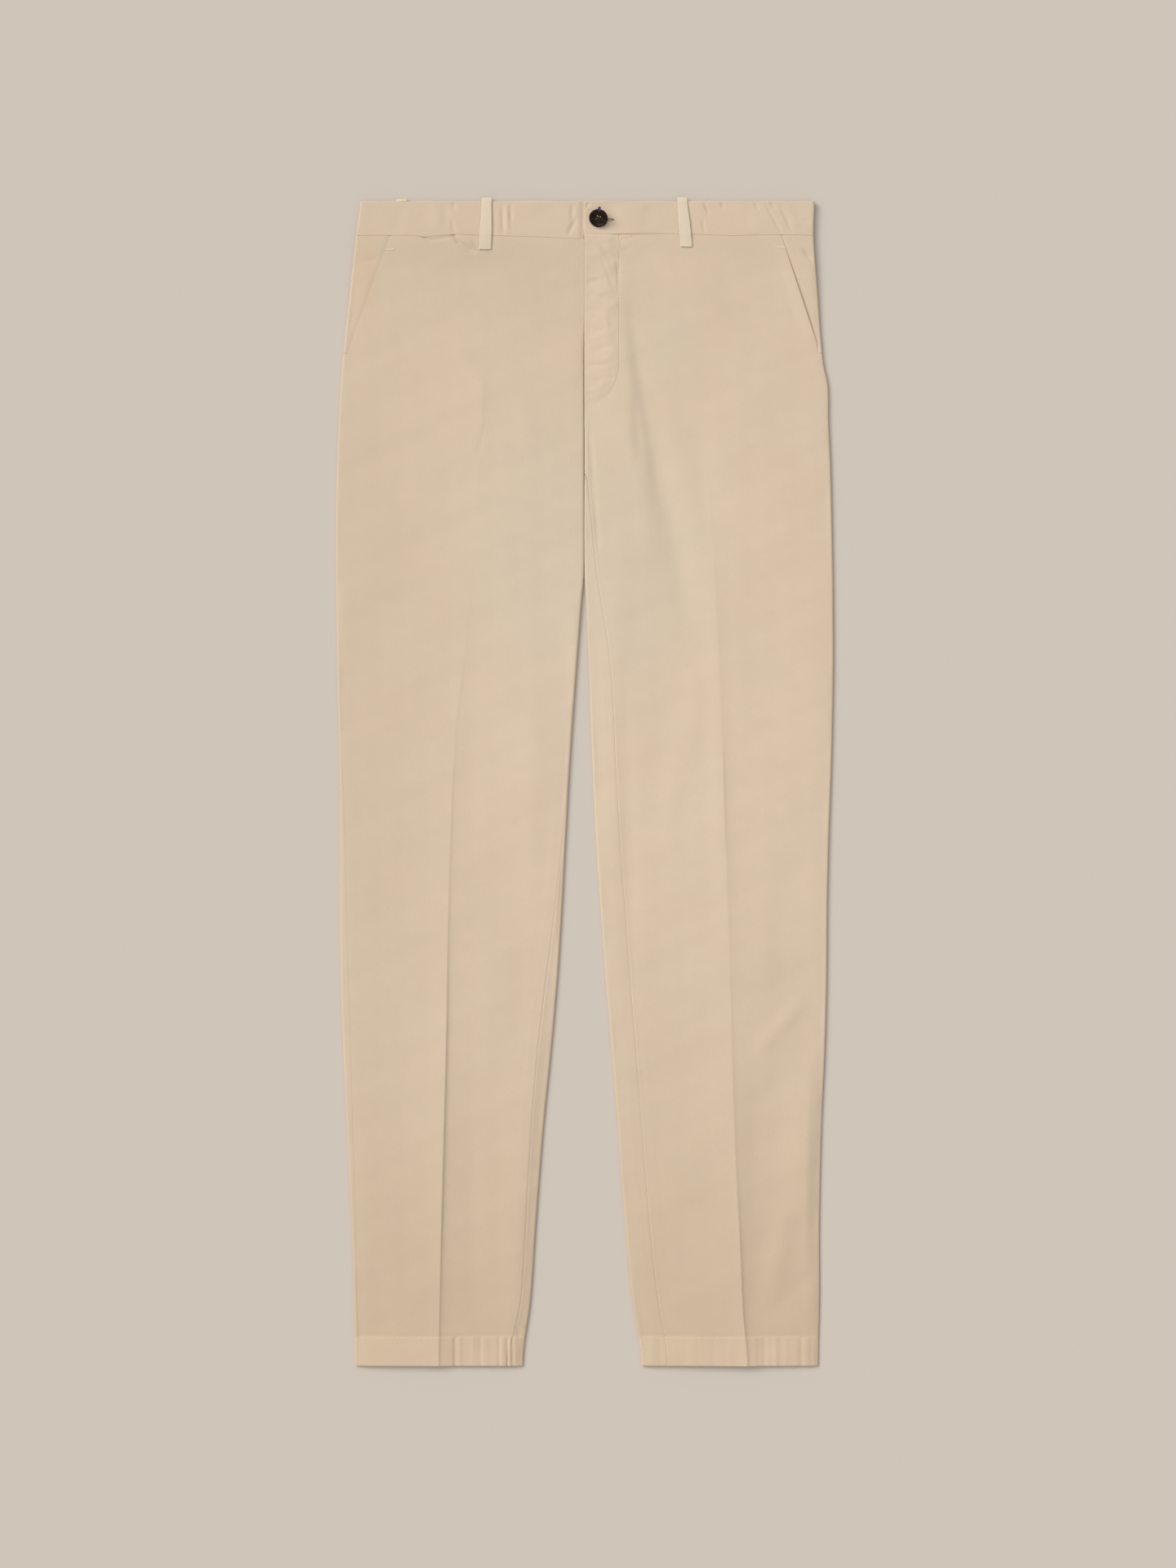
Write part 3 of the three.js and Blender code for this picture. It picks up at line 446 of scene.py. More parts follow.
class TrouserSizes(bpy.types.PropertyGroup):
    """Sizes that may be changed without new tables."""

    cloth: FloatProperty(
        name="Cloth", description="Thickness of the twill", default=0.0009, unit="LENGTH")
    fold_radius: FloatProperty(
        name="Fold radius", description="How round the legs' side folds are", default=0.00175,
        unit="LENGTH")
    hem_depth: FloatProperty(
        name="Hem depth", description="Depth of the turned-up hems", default=0.027, unit="LENGTH")
    fly_width: FloatProperty(
        name="Fly width", description="From the centre front to the curved stitching", default=0.032,
        unit="LENGTH")
    stitch_length: FloatProperty(
        name="Stitch length", description="Length of one topstitch", default=0.0022, unit="LENGTH")
    stitch_width: FloatProperty(
        name="Thread", description="Thickness of the sewing thread", default=0.0005, unit="LENGTH")


def colour_property(name, description, default):
    return FloatVectorProperty(
        name=name, description=description, default=default, subtype="COLOR", size=3, min=0, max=1)


class TrouserColours(bpy.types.PropertyGroup):
    """Linear colours of the cloth, the trims and the floor."""

    cloth: colour_property("Cloth", "Khaki cotton twill", (0.668, 0.530, 0.386))
    # painted shade of the lower legs, darker and warmer at the hems
    low_leg_shade: colour_property("Lower legs", "How much of it is left at the hems", (0.911, 0.884, 0.849))
    # The loops' paler colour is a painted highlight of the raised loops catching the light
    loop: colour_property("Belt loops", "The same cloth, brushed paler", (0.735, 0.613, 0.459))
    thread: colour_property("Thread", "Sewing thread, a shade paler than the cloth", (0.80, 0.66, 0.50))
    shank: colour_property("Button thread", "Brown thread of the button and its hole", (0.035, 0.02, 0.012))
    knot: colour_property("Marking thread", "Violet thread left over the button", (0.06, 0.025, 0.20))
    button: colour_property("Button", "Dark horn", (0.013, 0.0075, 0.0045))
    floor: colour_property("Floor", "Pale matt studio floor", (0.624, 0.558, 0.485))


def sizes(name):
    """A size in millimetres."""
    return getattr(bpy.context.scene.trouser_sizes, name) / MM


def colour(name):
    return (*getattr(bpy.context.scene.trouser_colours, name), 1.0)


def smooth(t):
    u = np.clip(t, 0.0, 1.0)
    return u * u * (3 - 2 * u)


def mix(a, b, t):
    return a + (b - a) * t


def graded(a, b, count, near_a=1.0, near_b=1.0):
    """Places from a to b, closer together near an end whose exponent is above 1."""
    u = np.linspace(0.0, 1.0, count + 1)
    up, down = u**near_a, (1 - u) ** near_b
    return mix(a, b, up / (up + down))


def rounding(distance, radius):
    """How far a face draws in at this distance from a rounded edge."""
    left = np.clip(radius - distance, 0.0, radius)
    return radius - np.sqrt(radius**2 - left**2)


def lift_at(drop):
    return WAIST_LIFT * (1 - smooth((drop - LIFT_FULL_TO) / (LIFT_NONE_FROM - LIFT_FULL_TO)))


def band_edge(x):
    return BAND_EDGE.straight("drop", x)


def hem_share(drop):
    return smooth((drop - (OUTSEAM - sizes("hem_depth") - 1)) / 2)


def ridges(table, x, drop):
    """The height of a table of straight ridges and troughs."""
    height = np.zeros(np.broadcast(x, drop).shape)
    for row in table.rows():
        dx, dd = row["x2"] - row["x1"], row["drop2"] - row["drop1"]
        length = math.hypot(dx, dd)
        along = ((x - row["x1"]) * dx + (drop - row["drop1"]) * dd) / length**2
        across = ((x - row["x1"]) * dd - (drop - row["drop1"]) * dx) / length / row["width"]
        taper = np.sin(math.pi * np.clip(along, 0, 1)) ** 0.75
        height += row["height"] * taper * np.exp(-across * across)
    return height


def soft_noise(x, drop, wavelength, height, seed):
    """A gentle random unevenness of the cloth, from a few crossing waves."""
    dice = np.random.default_rng(seed)
    total = np.zeros(np.broadcast(x, drop).shape)
    count = 9
    for _ in range(count):
        angle, phase = dice.uniform(0, 2 * math.pi, 2)
        k = 2 * math.pi / (wavelength * dice.uniform(0.6, 1.6))
        total += np.sin(k * (x * math.cos(angle) + drop * math.sin(angle)) + phase)
    return height * total / math.sqrt(count)


class Side:
    """One side of the garment: where its section lies at a given drop."""

    def __init__(self, name):
        self.name = name
        self.sign = 1.0 if name == "left" else -1.0
        self.radius = sizes("fold_radius")

    def edges(self, drop):
        table = OUTLINE[self.name]
        inner = CENTRE_FRONT + self.sign * (CENTRE_GAP + table.at("inner", drop))
        outer = self.sign * table.at("outer", drop)
        return inner, outer, np.abs(outer - inner) - 2 * self.radius

    def crease(self, x, drop):
        table = CREASES[self.name]
        away = x - table.at("x", drop)
        far = np.sqrt(away**2 + 0.04)
        width = np.where(away < 0, CREASE_RISE_WIDTH, CREASE_FALL_WIDTH)
        nip_width = np.where(away < 0, CREASE_RISE_WIDTH / 2, NIP_WIDTH)
        broad = table.at("height", drop) * np.exp(-far / width)
        return broad + table.at("nip", drop) * np.exp(-far / nip_width)

    def relief(self, x, drop):
        """Height of the top surface over a flat lie."""
        inner, outer, _ = self.edges(drop)
        edge = np.minimum(np.abs(x - inner), np.abs(x - outer)) - self.radius
        body = smooth((drop - BAND_DEPTH) / WAIST_FADE)
        shape = self.crease(x, drop) + ridges(FOLDS, x, drop)
        if self.name == "left":
            stiff = 1 - smooth((drop - FLY_END_DROP) / 30)
            shape = shape * mix(1, smooth((x - sizes("fly_width")) / 14), stiff)
        large = smooth(edge / EDGE_FADE) * body * shape
        hem = hem_share(drop)
        fine = WRINKLE_DEPTH * ridges(WRINKLES, x, drop)
        for wave in PANEL_WAVES:
            fine = fine + soft_noise(x, drop, *wave) * body
        for row in HEM_WRINKLES.rows():
            fine = fine + hem * row["height"] * np.exp(-(((x - row["x"]) / row["width"]) ** 2))
        above = drop - (OUTSEAM - sizes("hem_depth")) + HEM_GROOVE_ABOVE
        fine = fine - HEM_GROOVE * body * np.exp(-above * above)
        return large + smooth(edge / 3) * (fine + HEM_RELIEF * hem)

    def point(self, along, drop, inset, curl=1.0):
        """Points of the section; curl is 0 where the inner edge lies flat at a centre seam."""
        along, drop, inset, curl = np.broadcast_arrays(along, drop, inset, curl)
        inner, outer, flat = self.edges(drop)
        s, r = self.sign, self.radius
        half, lift = math.pi * r, lift_at(drop)
        crown = r - inset
        past_outer = along - flat
        below = past_outer - half
        past_inner = below - flat
        again = past_inner - half

        def turn(distance, centre, way, up):
            angle = np.clip(distance / r, 0, math.pi)
            return centre + way * crown * np.sin(angle), lift + r + up * crown * np.cos(angle)

        x = inner + s * (r + along)
        z = lift + 2 * r - inset + self.relief(x, drop)
        roll_x, roll_z = turn(-along, inner + s * r, -s, 1)
        flat_x = inner + s * np.maximum(0, r + along)
        x = np.where(along < 0, mix(flat_x, roll_x, curl), x)
        z = np.where(along < 0, mix(lift + 2 * r - inset, roll_z, curl), z)
        roll_x, roll_z = turn(past_outer, outer - s * r, s, 1)
        x = np.where(past_outer > 0, roll_x, x)
        z = np.where(past_outer > 0, roll_z, z)
        x = np.where(below > 0, outer - s * (r + below), x)
        z = np.where(below > 0, lift + inset, z)
        roll_x, roll_z = turn(past_inner, inner + s * r, -s, -1)
        flat_x = inner + s * np.maximum(0, r - past_inner)
        x = np.where(past_inner > 0, mix(flat_x, roll_x, curl), x)
        z = np.where(past_inner > 0, mix(lift + inset, roll_z, curl), z)
        again_x = inner + s * (r + again)
        x = np.where(again > 0, again_x, x)
        z = np.where(again > 0, lift + 2 * r - inset + self.relief(again_x, drop), z)
        return np.stack([x, ORIGIN_DROP - drop, z * self.pressed(x, drop)], axis=-1)

    def pressed(self, x, drop):
        """The share of its height that the garment keeps near its side folds."""
        inner, outer, _ = self.edges(drop)
        table = EDGE_PRESS[self.name]
        loss = 0
        for column, edge in (("outer", outer), ("inner", inner)):
            near = np.clip(1 - np.abs(x - edge) / EDGE_PRESS_WIDTH, 0, 1)
            loss = loss + table.at(column, drop) * near * near
        return 1 - loss

    def cloth(self, along, drop, inset, curl):
        """Points of the cloth, with a panel's first rows bent to meet the waistband."""
        x = self.point(along, drop, 0.0, curl)[..., 0]
        dip = np.where(along < self.edges(drop)[2], band_edge(x) - BAND_DEPTH, 0.0)
        bent = drop + dip * (1 - smooth((drop - BAND_DEPTH) / HEAD_FADE))
        return self.point(along, bent, inset, curl)

    def front_roll(self, drop):
        """How far the front's centre edge has turned under: 0 at the waist, 1 on the leg."""
        first, over = FRONT_ROLL[self.name]
        return smooth((drop - first) / over)

    def leg_share(self, drop):
        """0 over the crotch and 1 below it, where the leg has an inseam."""
        return smooth((drop - CROTCH_DROP) / CROTCH_SPAN + 0.5)

    def front_start(self, drop):
        centre = -self.radius * (1 + 1.2 * self.front_roll(drop))
        return mix(centre, SEAMS[self.name].at("inseam", drop), self.leg_share(drop))

    def outseam(self, drop):
        """How far along the section the side seam runs."""
        return self.edges(drop)[2] - SEAMS[self.name].at("outseam", drop)

    def along_at(self, x, drop):
        """How far along the section a place on the top lies."""
        return self.sign * (x - self.edges(drop)[0]) - self.radius

    def mouth(self, drop):
        """How far along the section the slanted pocket mouth runs."""
        top_x, top_drop, slope = MOUTHS[self.name]
        slant = self.along_at(self.sign * (top_x + slope * (drop - top_drop)), drop)
        return np.minimum(slant, self.edges(drop)[2] - MOUTH_FROM_FOLD)

    def front_end(self, drop):
        return np.where(drop <= POCKET_END_DROP + SEAM_GAP, self.mouth(drop), self.outseam(drop))

    def top(self, x, drop):
        """Height of the panel's face at a place on the front."""
        return (lift_at(drop) + 2 * self.radius + self.relief(x, drop)) * self.pressed(x, drop)


def shell(name, outer, inner):
    """A closed wall between two grids of points, as a mesh object with its faces outwards."""
    rows, cols = outer.shape[:2]
    count = rows * cols
    i, j = np.meshgrid(np.arange(rows - 1), np.arange(cols - 1), indexing="ij")
    a = (i * cols + j).ravel()
    skin = np.stack([a, a + cols, a + cols + 1, a + 1], axis=1)
    lining = skin[:, ::-1] + count
    down, over = np.arange(rows - 1) * cols, np.arange(cols - 1)
    last = (rows - 1) * cols
    rims = [
        (down, down + count, down + cols + count, down + cols),
        (down + cols - 1, down + 2 * cols - 1, down + 2 * cols - 1 + count, down + cols - 1 + count),
        (over, over + 1, over + 1 + count, over + count),
        (over + last, over + last + count, over + last + 1 + count, over + last + 1),
    ]
    quads = np.concatenate([skin, lining] + [np.stack(rim, axis=1) for rim in rims])
    points = np.concatenate([outer.reshape(-1, 3), inner.reshape(-1, 3)]) * MM
    corners = points[quads]
    volume = np.einsum("ij,ij->i", corners[:, 0], np.cross(corners[:, 1], corners[:, 2])).sum()
    volume += np.einsum("ij,ij->i", corners[:, 0], np.cross(corners[:, 2], corners[:, 3])).sum()
    if volume < 0:
        quads = quads[:, ::-1]
    return mesh_object(name, points, quads)


def mesh_object(name, points, faces):
    mesh = bpy.data.meshes.new(name)
    mesh.from_pydata(np.asarray(points).tolist(), [], np.asarray(faces).tolist())
    mesh.polygons.foreach_set("use_smooth", np.ones(len(mesh.polygons), dtype=bool))
    mesh.update()
    piece = bpy.data.objects.new(name, mesh)
    bpy.context.scene.collection.objects.link(piece)
    return piece


def paint_cloth(piece):
    """Stores, from where each point lies, its painted light and shade with the hems' paleness, how cool and
    how far down the leg it is.
    """
    points = np.empty(len(piece.data.vertices) * 3, dtype=np.float32)
    piece.data.vertices.foreach_get("co", points)
    x, y, _ = points.reshape(-1, 3).T / MM
    drop = ORIGIN_DROP - y
    tone, cool = np.zeros(len(x)), np.zeros(len(x))
    for row in PAINTED_LIGHT_AND_HUE.rows():
        across, down = (x - row["x"]) / row["reach_x"], (drop - row["drop"]) / row["reach_drop"]
        share = np.exp(-across * across - down * down)
        tone += row["tone"] / 1000 * share
        cool += row["cool"] * share
    tone += HEM_PALENESS * hem_share(drop)
    low = smooth((drop - LOW_LEG_FROM) / (LOW_LEG_TO - LOW_LEG_FROM))
    for name, values in (("tone", tone), ("cool", cool), ("low", low)):
        layer = piece.data.attributes.new(name, "FLOAT", "POINT")
        layer.data.foreach_set("value", values.astype(np.float32))


def edge_stops(cloth):
    """Distances from a rounded edge at which a grid has a line."""
    return np.array([0.0, 0.08, 0.28, 0.5, 1.0]) * cloth


def finish(piece, material, *nodes, slot="cloth"):
    """Gives a piece its material and body, paints cloth pieces, and hides the CAD nodes it stands for."""
    if slot == "cloth":
        paint_cloth(piece)
    piece.data.materials.clear()
    piece.data.materials.append(material)
    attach(piece, BODY)
    if nodes:
        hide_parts(*nodes)
    return piece


# Materials


def new_material(name):
    material = bpy.data.materials.new(name)
    material.use_nodes = True
    tree = material.node_tree
    return material, tree, tree.nodes["Principled BSDF"]


def add(tree, kind, inputs=None, **settings):
    node = tree.nodes.new(kind)
    for key, value in settings.items():
        setattr(node, key, value)
    for key, value in (inputs or {}).items():
        if isinstance(value, bpy.types.NodeSocket):
            tree.links.new(value, node.inputs[key])
        else:
            node.inputs[key].default_value = value
    return node


def noise_at(tree, where, scale, detail=3.0, roughness=0.55):
    node = add(tree, "ShaderNodeTexNoise", {
        "Vector": where, "Scale": scale, "Detail": detail, "Roughness": roughness})
    return node.outputs["Fac"]


def sway(tree, value, low, high):
    """A noise of about 0.3 to 0.7 spread over the range from low to high."""
    node = add(tree, "ShaderNodeMapRange", {
        "Value": value, "From Min": 0.3, "From Max": 0.7, "To Min": low, "To Max": high})
    return node.outputs["Result"]


def blend_colours(tree, share, first, second):
    """Goes from the first colour to the second as the share goes from 0 to 1, and on beyond."""
    node = add(tree, "ShaderNodeMix", {"Factor": share}, data_type="VECTOR", clamp_factor=False)
    # a Mix node's vector sockets come after its float ones
    node.inputs[4].default_value, node.inputs[5].default_value = first, second
    return node.outputs[1]


def calc(tree, operation, a, b=0.0):
    return add(tree, "ShaderNodeMath", {0: a, 1: b}, operation=operation).outputs[0]


def twill_material(name, base, faded=0.0):
    """Brushed cotton twill: a fine diagonal rib, soft slubs and a slight unevenness of the dye."""
    material, tree, surface = new_material(name)
    where = add(tree, "ShaderNodeTexCoord").outputs["Object"]
    turned = add(tree, "ShaderNodeMapping", {"Vector": where, "Rotation": (0, 0, math.radians(63))})
    rib = add(tree, "ShaderNodeTexWave", {
        "Vector": turned.outputs["Vector"], "Scale": 480.0, "Distortion": 1.2, "Detail": 1.0,
        "Detail Scale": 1.5}, wave_type="BANDS", bands_direction="X").outputs["Fac"]
    stretched = add(tree, "ShaderNodeMapping", {"Vector": where, "Scale": (900, 260, 600)})
    slub = noise_at(tree, stretched.outputs["Vector"], 1.0, 2.0)
    fuzz = noise_at(tree, where, 1300.0, 2.0)
    crumple = noise_at(tree, where, 55.0, 4.0, 0.6)
    dye = noise_at(tree, where, 9.0, 3.0)
    blotch = noise_at(tree, where, 24.0, 2.0)

    tone = calc(tree, "ADD", sway(tree, dye, -0.010, 0.010), sway(tree, blotch, -0.008, 0.008))
    tone = calc(tree, "ADD", tone, sway(tree, slub, -0.014, 0.014))
    tone = calc(tree, "ADD", tone, calc(tree, "MULTIPLY", calc(tree, "SUBTRACT", rib, 0.5), 0.02))
    # the tone attribute brings in the painted light and shade of the patches and the hems' paleness
    painted = add(tree, "ShaderNodeAttribute", attribute_name="tone").outputs["Fac"]
    tone = calc(tree, "ADD", tone, painted)
    tone = calc(tree, "ADD", tone, 1.0 + faded)
    pink = [c * k for c, k in zip(base, (1.008, 0.993, 1.000))]
    green = [c * k for c, k in zip(base, (0.992, 1.006, 0.994))]
    hue = blend_colours(tree, sway(tree, noise_at(tree, where, 14.0, 2.0), 0, 1), pink, green)
    cool = add(tree, "ShaderNodeAttribute", attribute_name="cool").outputs["Fac"]
    cooled = blend_colours(tree, cool, (1, 1, 1), COOL_SHIFT)
    hue = add(tree, "ShaderNodeVectorMath", {0: hue, 1: cooled}, operation="MULTIPLY").outputs["Vector"]
    # the lower legs' painted shade, darker and warmer towards the hems
    low = add(tree, "ShaderNodeAttribute", attribute_name="low").outputs["Fac"]
    kept = blend_colours(tree, low, (1, 1, 1), colour("low_leg_shade")[:3])
    dyed = add(tree, "ShaderNodeVectorMath", {0: hue, 1: kept}, operation="MULTIPLY").outputs["Vector"]
    shade = add(tree, "ShaderNodeVectorMath", {0: dyed, "Scale": tone}, operation="SCALE")
    tree.links.new(shade.outputs["Vector"], surface.inputs["Base Color"])
    rough = calc(tree, "ADD", sway(tree, slub, -0.04, 0.04), 0.9)
    tree.links.new(rough, surface.inputs["Roughness"])
    surface.inputs["Sheen Weight"].default_value = 0.12
    surface.inputs["Sheen Roughness"].default_value = 0.6
    surface.inputs["Specular IOR Level"].default_value = 0.2
    normal = None
    reliefs = (
        (crumple, 0.0010, 0.22), (slub, 0.00012, 0.5), (rib, 0.00008, 0.5), (fuzz, 0.00008, 0.35))
    for height, distance, strength in reliefs:
        bump = add(tree, "ShaderNodeBump", {
            "Height": height, "Distance": distance, "Strength": strength})
        if normal is not None:
            tree.links.new(normal, bump.inputs["Normal"])
        normal = bump.outputs["Normal"]
    tree.links.new(normal, surface.inputs["Normal"])
    return material


def thread_material(name, base):
    """Twisted sewing thread, slightly glossy."""
    material, tree, surface = new_material(name)
    where = add(tree, "ShaderNodeTexCoord").outputs["Object"]
    twist = noise_at(tree, where, 2600.0, 1.0)
    shade = add(tree, "ShaderNodeVectorMath", {0: base[:3], "Scale": sway(tree, twist, 0.85, 1.1)},
                operation="SCALE")
    tree.links.new(shade.outputs["Vector"], surface.inputs["Base Color"])
    surface.inputs["Roughness"].default_value = 0.6
    surface.inputs["Sheen Weight"].default_value = 0.2
    bump = add(tree, "ShaderNodeBump", {"Height": twist, "Distance": 0.0001, "Strength": 0.4})
    tree.links.new(bump.outputs["Normal"], surface.inputs["Normal"])
    return material


def horn_material(name, base):
    """Dark marbled horn with a low polish."""
    material, tree, surface = new_material(name)
    where = add(tree, "ShaderNodeTexCoord").outputs["Object"]
    swirl = add(tree, "ShaderNodeTexWave", {
        "Vector": where, "Scale": 60.0, "Distortion": 9.0, "Detail": 4.0, "Detail Scale": 2.5},
        wave_type="BANDS", bands_direction="DIAGONAL").outputs["Fac"]
    cloud = noise_at(tree, where, 420.0, 3.0)
    brown = add(tree, "ShaderNodeValToRGB", {"Fac": calc(tree, "MULTIPLY", swirl, cloud)})
    dark, pale = brown.color_ramp.elements
    dark.position, dark.color = 0.18, base
    pale.position, pale.color = 0.62, (base[0] * 3.4, base[1] * 2.6, base[2] * 2.0, 1)
    tree.links.new(brown.outputs["Color"], surface.inputs["Base Color"])
    tree.links.new(sway(tree, cloud, 0.34, 0.5), surface.inputs["Roughness"])
    surface.inputs["Specular IOR Level"].default_value = 0.12
    scratch = noise_at(tree, where, 1500.0, 2.0)
    bump = add(tree, "ShaderNodeBump", {"Height": scratch, "Distance": 0.00005, "Strength": 0.3})
    tree.links.new(bump.outputs["Normal"], surface.inputs["Normal"])
    return material


def floor_material(name, base):
    """Matt paper floor with a barely uneven tone."""
    material, tree, surface = new_material(name)
    where = add(tree, "ShaderNodeTexCoord").outputs["Object"]
    grain = noise_at(tree, where, 3.0, 2.0)
    shade = add(tree, "ShaderNodeVectorMath", {0: base[:3], "Scale": sway(tree, grain, 0.996, 1.004)},
                operation="SCALE")
    tree.links.new(shade.outputs["Vector"], surface.inputs["Base Color"])
    surface.inputs["Roughness"].default_value = 1.0
    surface.inputs["Specular IOR Level"].default_value = 0.0
    return material


def material(name):
    """The named material, made the first time it is asked for."""
    if name in bpy.data.materials:
        return bpy.data.materials[name]
    makers = {
        "khaki_twill": lambda: twill_material("khaki_twill", colour("cloth")),
        "highlit_loop_twill": lambda: twill_material("highlit_loop_twill", colour("loop")),
        "sewing_thread": lambda: thread_material("sewing_thread", colour("thread")),
        "dark_thread": lambda: thread_material("dark_thread", colour("shank")),
        "violet_thread": lambda: thread_material("violet_thread", colour("knot")),
        "dark_horn": lambda: horn_material("dark_horn", colour("button")),
        "pale_floor": lambda: floor_material("pale_floor", colour("floor")),
    }
    return makers[name]()


# Grids of the panels


def panel_drops():
    """The drops of a panel's rows: close together at the waist, the hem line and the hem's edge."""
    hem_line = OUTSEAM - sizes("hem_depth")
    first = BAND_DEPTH + SEAM_GAP
    waist = np.concatenate([first + edge_stops(0.9), graded(first + 2, 66, 22)])
    below_mouth = POCKET_END_DROP + np.array([0.3, 1.4, 2.6, 5])
    pocket = np.concatenate([graded(68, POCKET_END_DROP, 30), below_mouth])
    leg = graded(POCKET_END_DROP + 8, hem_line - 14, 250)
    groove = graded(hem_line - 1.2, hem_line + 1.4, 5)
    hem = np.concatenate([graded(hem_line - 12, hem_line - 2, 6), groove])
    edge = np.concatenate([graded(hem_line + 3, OUTSEAM - 2, 14), (OUTSEAM - edge_stops(1.7))[::-1]])
    return np.concatenate([waist, pocket, leg, hem, edge])


def columns(pieces):
    """Stacks runs of columns, each an array of rows by columns, without their shared ones."""
    return np.concatenate([pieces[0]] + [piece[:, 1:] for piece in pieces[1:]], axis=1)


def run(start, end, count, near_start=1.0, near_end=1.0):
    """Columns from a start to an end that change from row to row."""
    share = graded(0.0, 1.0, count, near_start, near_end)
    return start[:, None] + (end - start)[:, None] * share[None, :]


def thickness(drop):
    return mix(sizes("cloth"), HEM_CLOTH, hem_share(drop))


def cloth_layers(side, along, drop, curl, start, end, mouth=None):
    """The outer and inner grids of a panel: seams a little rounded, its hem a round fold."""
    grid_drop = np.broadcast_to(drop[:, None], along.shape)
    wall = thickness(grid_drop)
    to_end = end[:, None] - along
    if mouth is not None:
        thin = MOUTH_CLOTH + (wall - MOUTH_CLOTH) * smooth(to_end / MOUTH_THIN_REACH)
        wall = np.where(mouth[:, None], thin, wall)
    near = np.minimum(np.minimum(along - start[:, None], to_end), grid_drop - drop[0])
    drawn = rounding(np.maximum(near, 0), SEAM_ROUND)
    drawn = np.maximum(drawn, rounding(np.maximum(OUTSEAM - grid_drop, 0), 0.48 * wall))
    curled = np.broadcast_to(curl[:, None], along.shape)
    outer = side.cloth(along, grid_drop, drawn, curled)
    inner = side.cloth(along, grid_drop, wall - drawn, curled)
    return outer, inner


def press_seam(points, along, seam, drop, share):
    """Sinks the cloth at a seam, and lifts it over the allowances pressed open beneath."""
    away = np.abs(along - seam[:, None])
    pucker = 1 + 0.35 * np.sin(drop / 4.1) * np.sin(drop / 13.7 + 1) + 0.3 * np.sin(drop / 37)
    lip = SEAM_LIP * np.exp(-(((away - SEAM_LIP_OUT) / SEAM_LIP_WIDTH) ** 2))
    lips = lip - SEAM_GROOVE * np.exp(-((away / SEAM_GROOVE_WIDTH) ** 2))
    lift = SEAM_LIFT * (1 - smooth((away - SEAM_ALLOWANCE) / 3))
    points[..., 2] += share * (lift + pucker[:, None] * lips)


def build_front(name):
    side = Side(name)
    drop = panel_drops()
    start, end = side.front_start(drop), side.front_end(drop)
    flat = side.edges(drop)[2]
    crease = side.along_at(CREASES[name].at("x", drop), drop)
    level = np.maximum(start, 0) + 2.5
    turn = np.minimum(flat, end) - 1.2
    along = columns([
        run(start, start + 0.5, 3), run(start + 0.5, level, 4), run(level, crease, 60, 1.0, 1.4),
        run(crease, turn, 50, 1.4, 1.0), run(turn, end - 0.5, 6), run(end - 0.5, end, 3),
    ])
    mouth = drop <= POCKET_END_DROP + SEAM_GAP
    outer, inner = cloth_layers(side, along, drop, side.front_roll(drop), start, end, mouth)
    on_leg = side.leg_share(drop)[:, None] * (along > -1)
    for grid in (outer, inner):
        press_seam(grid, along, start, drop, on_leg)
    gape_mouth(side, outer, inner, along, drop, end)
    return shell(f"front_{name}_cloth", outer, inner)


def gape_mouth(side, outer, inner, along, drop, end):
    """Lifts the pocket's mouth a little where it stands open."""
    t = np.clip((drop - MOUTH_OPEN_FROM) / (MOUTH_OPEN_TO - MOUTH_OPEN_FROM), 0, 1)
    open_by = MOUTH_GAPE[side.name] * np.abs(np.sin(math.pi * t**1.15)) ** 0.8
    lift = open_by[:, None] * smooth(1 - (end[:, None] - along) / MOUTH_LIP)
    for grid in (outer, inner):
        grid[..., 2] += lift


def build_back(name):
    side = Side(name)
    drop = panel_drops()
    flat = side.edges(drop)[2]
    half = math.pi * side.radius
    leg = side.leg_share(drop)
    inner_fold = 2 * flat + half
    start = side.outseam(drop) + SEAM_GAP
    inseam = inner_fold + half + side.front_start(drop) - SEAM_GAP
    end = mix(inner_fold + side.radius, inseam, leg)
    crest = np.minimum(inner_fold + half, end - 1.2)
    along = columns([
        run(start, start + 0.5, 3), run(start + 0.5, flat + half, 9), run(flat + half, inner_fold, 20),
        run(inner_fold, crest, 10), run(crest, end - 0.5, 12), run(end - 0.5, end, 3),
    ])
    rolled = smooth((drop - (CROTCH_DROP - 24)) / 10)
    outer, inner = cloth_layers(side, along, drop, rolled, start, end)
    on_top = leg[:, None] * (along > (inner_fold + half - 1)[:, None])
    for grid in (outer, inner):
        press_seam(grid, along, end, drop, on_top)
    return shell(f"back_{name}_cloth", outer, inner)


def build_facing(name):
    side = Side(name)
    drop = np.concatenate([
        BAND_DEPTH + SEAM_GAP + edge_stops(0.9), graded(BAND_DEPTH + 2.5, POCKET_END_DROP - 1.5, 46),
        (POCKET_END_DROP - edge_stops(0.9))[::-1]])
    flat = side.edges(drop)[2]
    mouth, end = side.mouth(drop), side.outseam(drop)
    shown = mouth + SEAM_GAP
    rise = np.minimum(FACING_RISE, (flat - shown) * 0.9)
    risen = shown + rise
    fold = np.maximum(flat, risen + 0.2)
    start = mouth - FACING_TUCK
    along = columns([
        run(start, shown, 6), run(shown, risen, 6), run(risen, fold, 12), run(fold, end, 5)])
    outer, inner = cloth_layers(side, along, drop, np.ones(len(drop)), start, end)
    ahead = along - shown[:, None]
    dip = FACING_DIP * (1 - smooth(ahead / rise[:, None])) + 0.4 * smooth(-ahead / 4)
    outer[..., 2] -= dip
    inner[..., 2] -= dip
    return shell(f"pocket_facing_{name}_cloth", outer, inner)


# The waistband's grid: where its side fold's columns begin, how round its edges are drawn, and the
# points round its fold
BAND_TURN_X = 205.0
BAND_ROUND, BAND_SEAM_ROUND = 0.75, 0.25
BAND_FOLD_POINTS = 15


